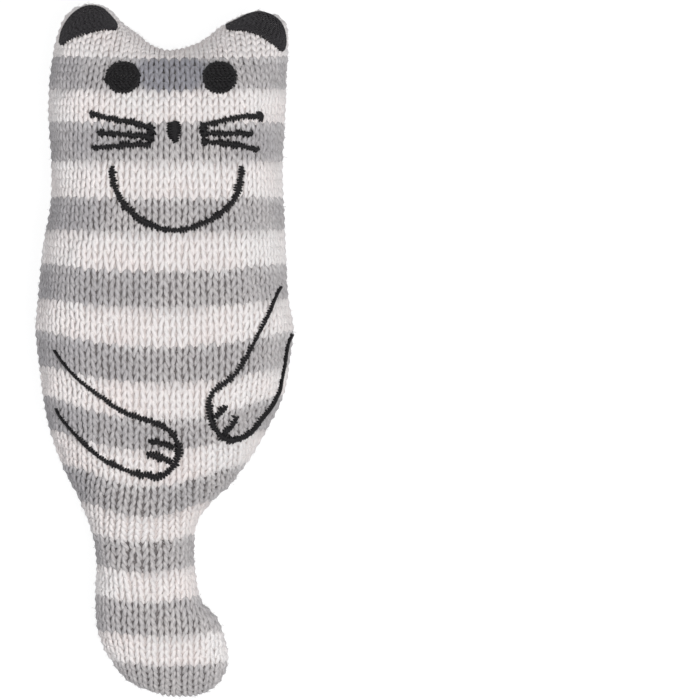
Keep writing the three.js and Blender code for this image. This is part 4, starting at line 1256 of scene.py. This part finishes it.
def flake_tree():
    """Small curled flakes scattered over a mass and joined to it."""
    tree, add, given = start_tree("Flakes over a mass", {
        "Flakes per square metre": "Float", "Flake size": "Float", "Seed": "Int"})
    seed = given["Seed"]
    points = add("GeometryNodeDistributePointsOnFaces", {
        "Mesh": given["Paths"], "Density": given["Flakes per square metre"], "Seed": seed})
    flake = add("GeometryNodeMeshCone", {
        "Vertices": 5, "Radius Top": 0.4, "Radius Bottom": 1.0, "Depth": 0.5}, "Mesh")
    turn, spread = [
        add(RANDOM, {0: low, 1: high, "Seed": seed}, data_type="FLOAT_VECTOR")
        for low, high in (((0, 0, 0), (6.28, 6.28, 6.28)), ((0.5, 0.3, 0.15), (1.3, 0.8, 0.4)))]
    size = add(VECTORS, {0: spread, "Scale": given["Flake size"]}, operation="SCALE")
    flakes = add("GeometryNodeInstanceOnPoints", {
        "Points": points, "Instance": flake, "Rotation": turn, "Scale": size})
    both = add("GeometryNodeJoinGeometry", [flakes])
    tree.links.new(given["Paths"], both.node.inputs[0])
    finish_tree(add, given, both)
    return tree


FLAKES_PER_SQUARE_MILLIMETRE = 1.4
FLAKE_SIZE = 0.7
HERB_OUTLINE = [
    (0.1, 1.2), (3.6, 1.9), (5.6, 4.4), (6.0, 9.6), (5.9, 15.4), (4.2, 19.4), (2.4, 20.6), (0.1, 21.2)]
herb_profile = along(smooth_path(HERB_OUTLINE), np.linspace(0, 1, 40))
heap = turned(herb_profile, 60, np.zeros(len(herb_profile)), 1.0)[0]
leaf = crushed_leaf()
heap_mesh = grid_mesh("heap of herb", heap, leaf)
weld(heap_mesh, 0.001, np.inf)
mesh = grown(flake_tree(), heap_mesh, {
    "Flakes per square metre": FLAKES_PER_SQUARE_MILLIMETRE / MM**2, "Flake size": FLAKE_SIZE * MM,
    "Seed": 9, "Material": leaf})
piece("crushed_catnip", mesh, "catnip_herb")


# The camera looks straight down from high above the middle of the picture, so that nothing looks
# nearer than the rest. The toy lies to the left of it.
PICTURE_WIDTH = 151.2
PICTURE_CENTRE = (40.07, 0.0)
LENS = 1000
SENSOR_WIDTH = 36
TOY_MIDDLE = 14
camera = new_object("camera", bpy.data.cameras.new("camera"))
camera.data.lens = LENS
camera.data.sensor_width = SENSOR_WIDTH
camera.data.clip_end = 100
distance = TOY_MIDDLE + PICTURE_WIDTH * LENS / SENSOR_WIDTH
camera.location = [value * MM for value in (*PICTURE_CENTRE, distance)]
bpy.context.scene.camera = camera


def shown(add):
    """Whether a ray shows something to the camera, straight, mirrored or through glass."""
    rays = add("ShaderNodeLightPath").node.outputs
    return ("MAXIMUM", rays["Is Camera Ray"], ("MAXIMUM", rays["Is Glossy Ray"], rays["Is Transmission Ray"]))


# A matt white sheet of card. What the camera sees of it is lifted to white, and keeps the shadow.
FLOOR_REACH = 3.0
LIFTED_SHARE = 0.7
card, add = start_material("matt white card")
matt = add("ShaderNodeBsdfDiffuse", {"Color": srgb("#cccccc")})
glow = add("ShaderNodeEmission", {"Color": (1, 1, 1, 1), "Strength": 1.28})
add("ShaderNodeOutputMaterial", {
    "Surface": add("ShaderNodeMixShader", [("MULTIPLY", shown(add), LIFTED_SHARE), matt, glow])})
mesh = bpy.data.meshes.new("floor")
corners = [(x * FLOOR_REACH, y * FLOOR_REACH, 0) for x, y in ((-1, -1), (1, -1), (1, 1), (-1, 1))]
mesh.from_pydata(corners, [], [(0, 1, 2, 3)])
mesh.materials.append(card)
new_object("floor", mesh)

for name, place, width, watts in (
        ("key light", (0.3, -0.22, 1.0), 0.6, 7.2), ("fill light", (-0.4, 0.4, 1.0), 0.8, 3.4)):
    lamp = new_object(name, bpy.data.lights.new(name, "AREA"))
    lamp.data.shape = "DISK"
    lamp.data.size = width
    lamp.data.energy = watts
    lamp.location = place
    lamp.rotation_mode = "QUATERNION"
    lamp.rotation_quaternion = (-Vector(place)).to_track_quat("-Z", "Y")
    lamp.visible_camera = False

world = bpy.data.worlds.new("studio")
bpy.context.scene.world = world
add = start_nodes(world)
room = add("ShaderNodeBackground", {"Color": srgb("#f4f8ff"), "Strength": 0.32})
backdrop = add("ShaderNodeBackground", {"Color": (1, 1, 1, 1), "Strength": 1.0})
add("ShaderNodeOutputWorld", {"Surface": add("ShaderNodeMixShader", [shown(add), room, backdrop])})
bpy.context.scene.view_settings.view_transform = "Standard"
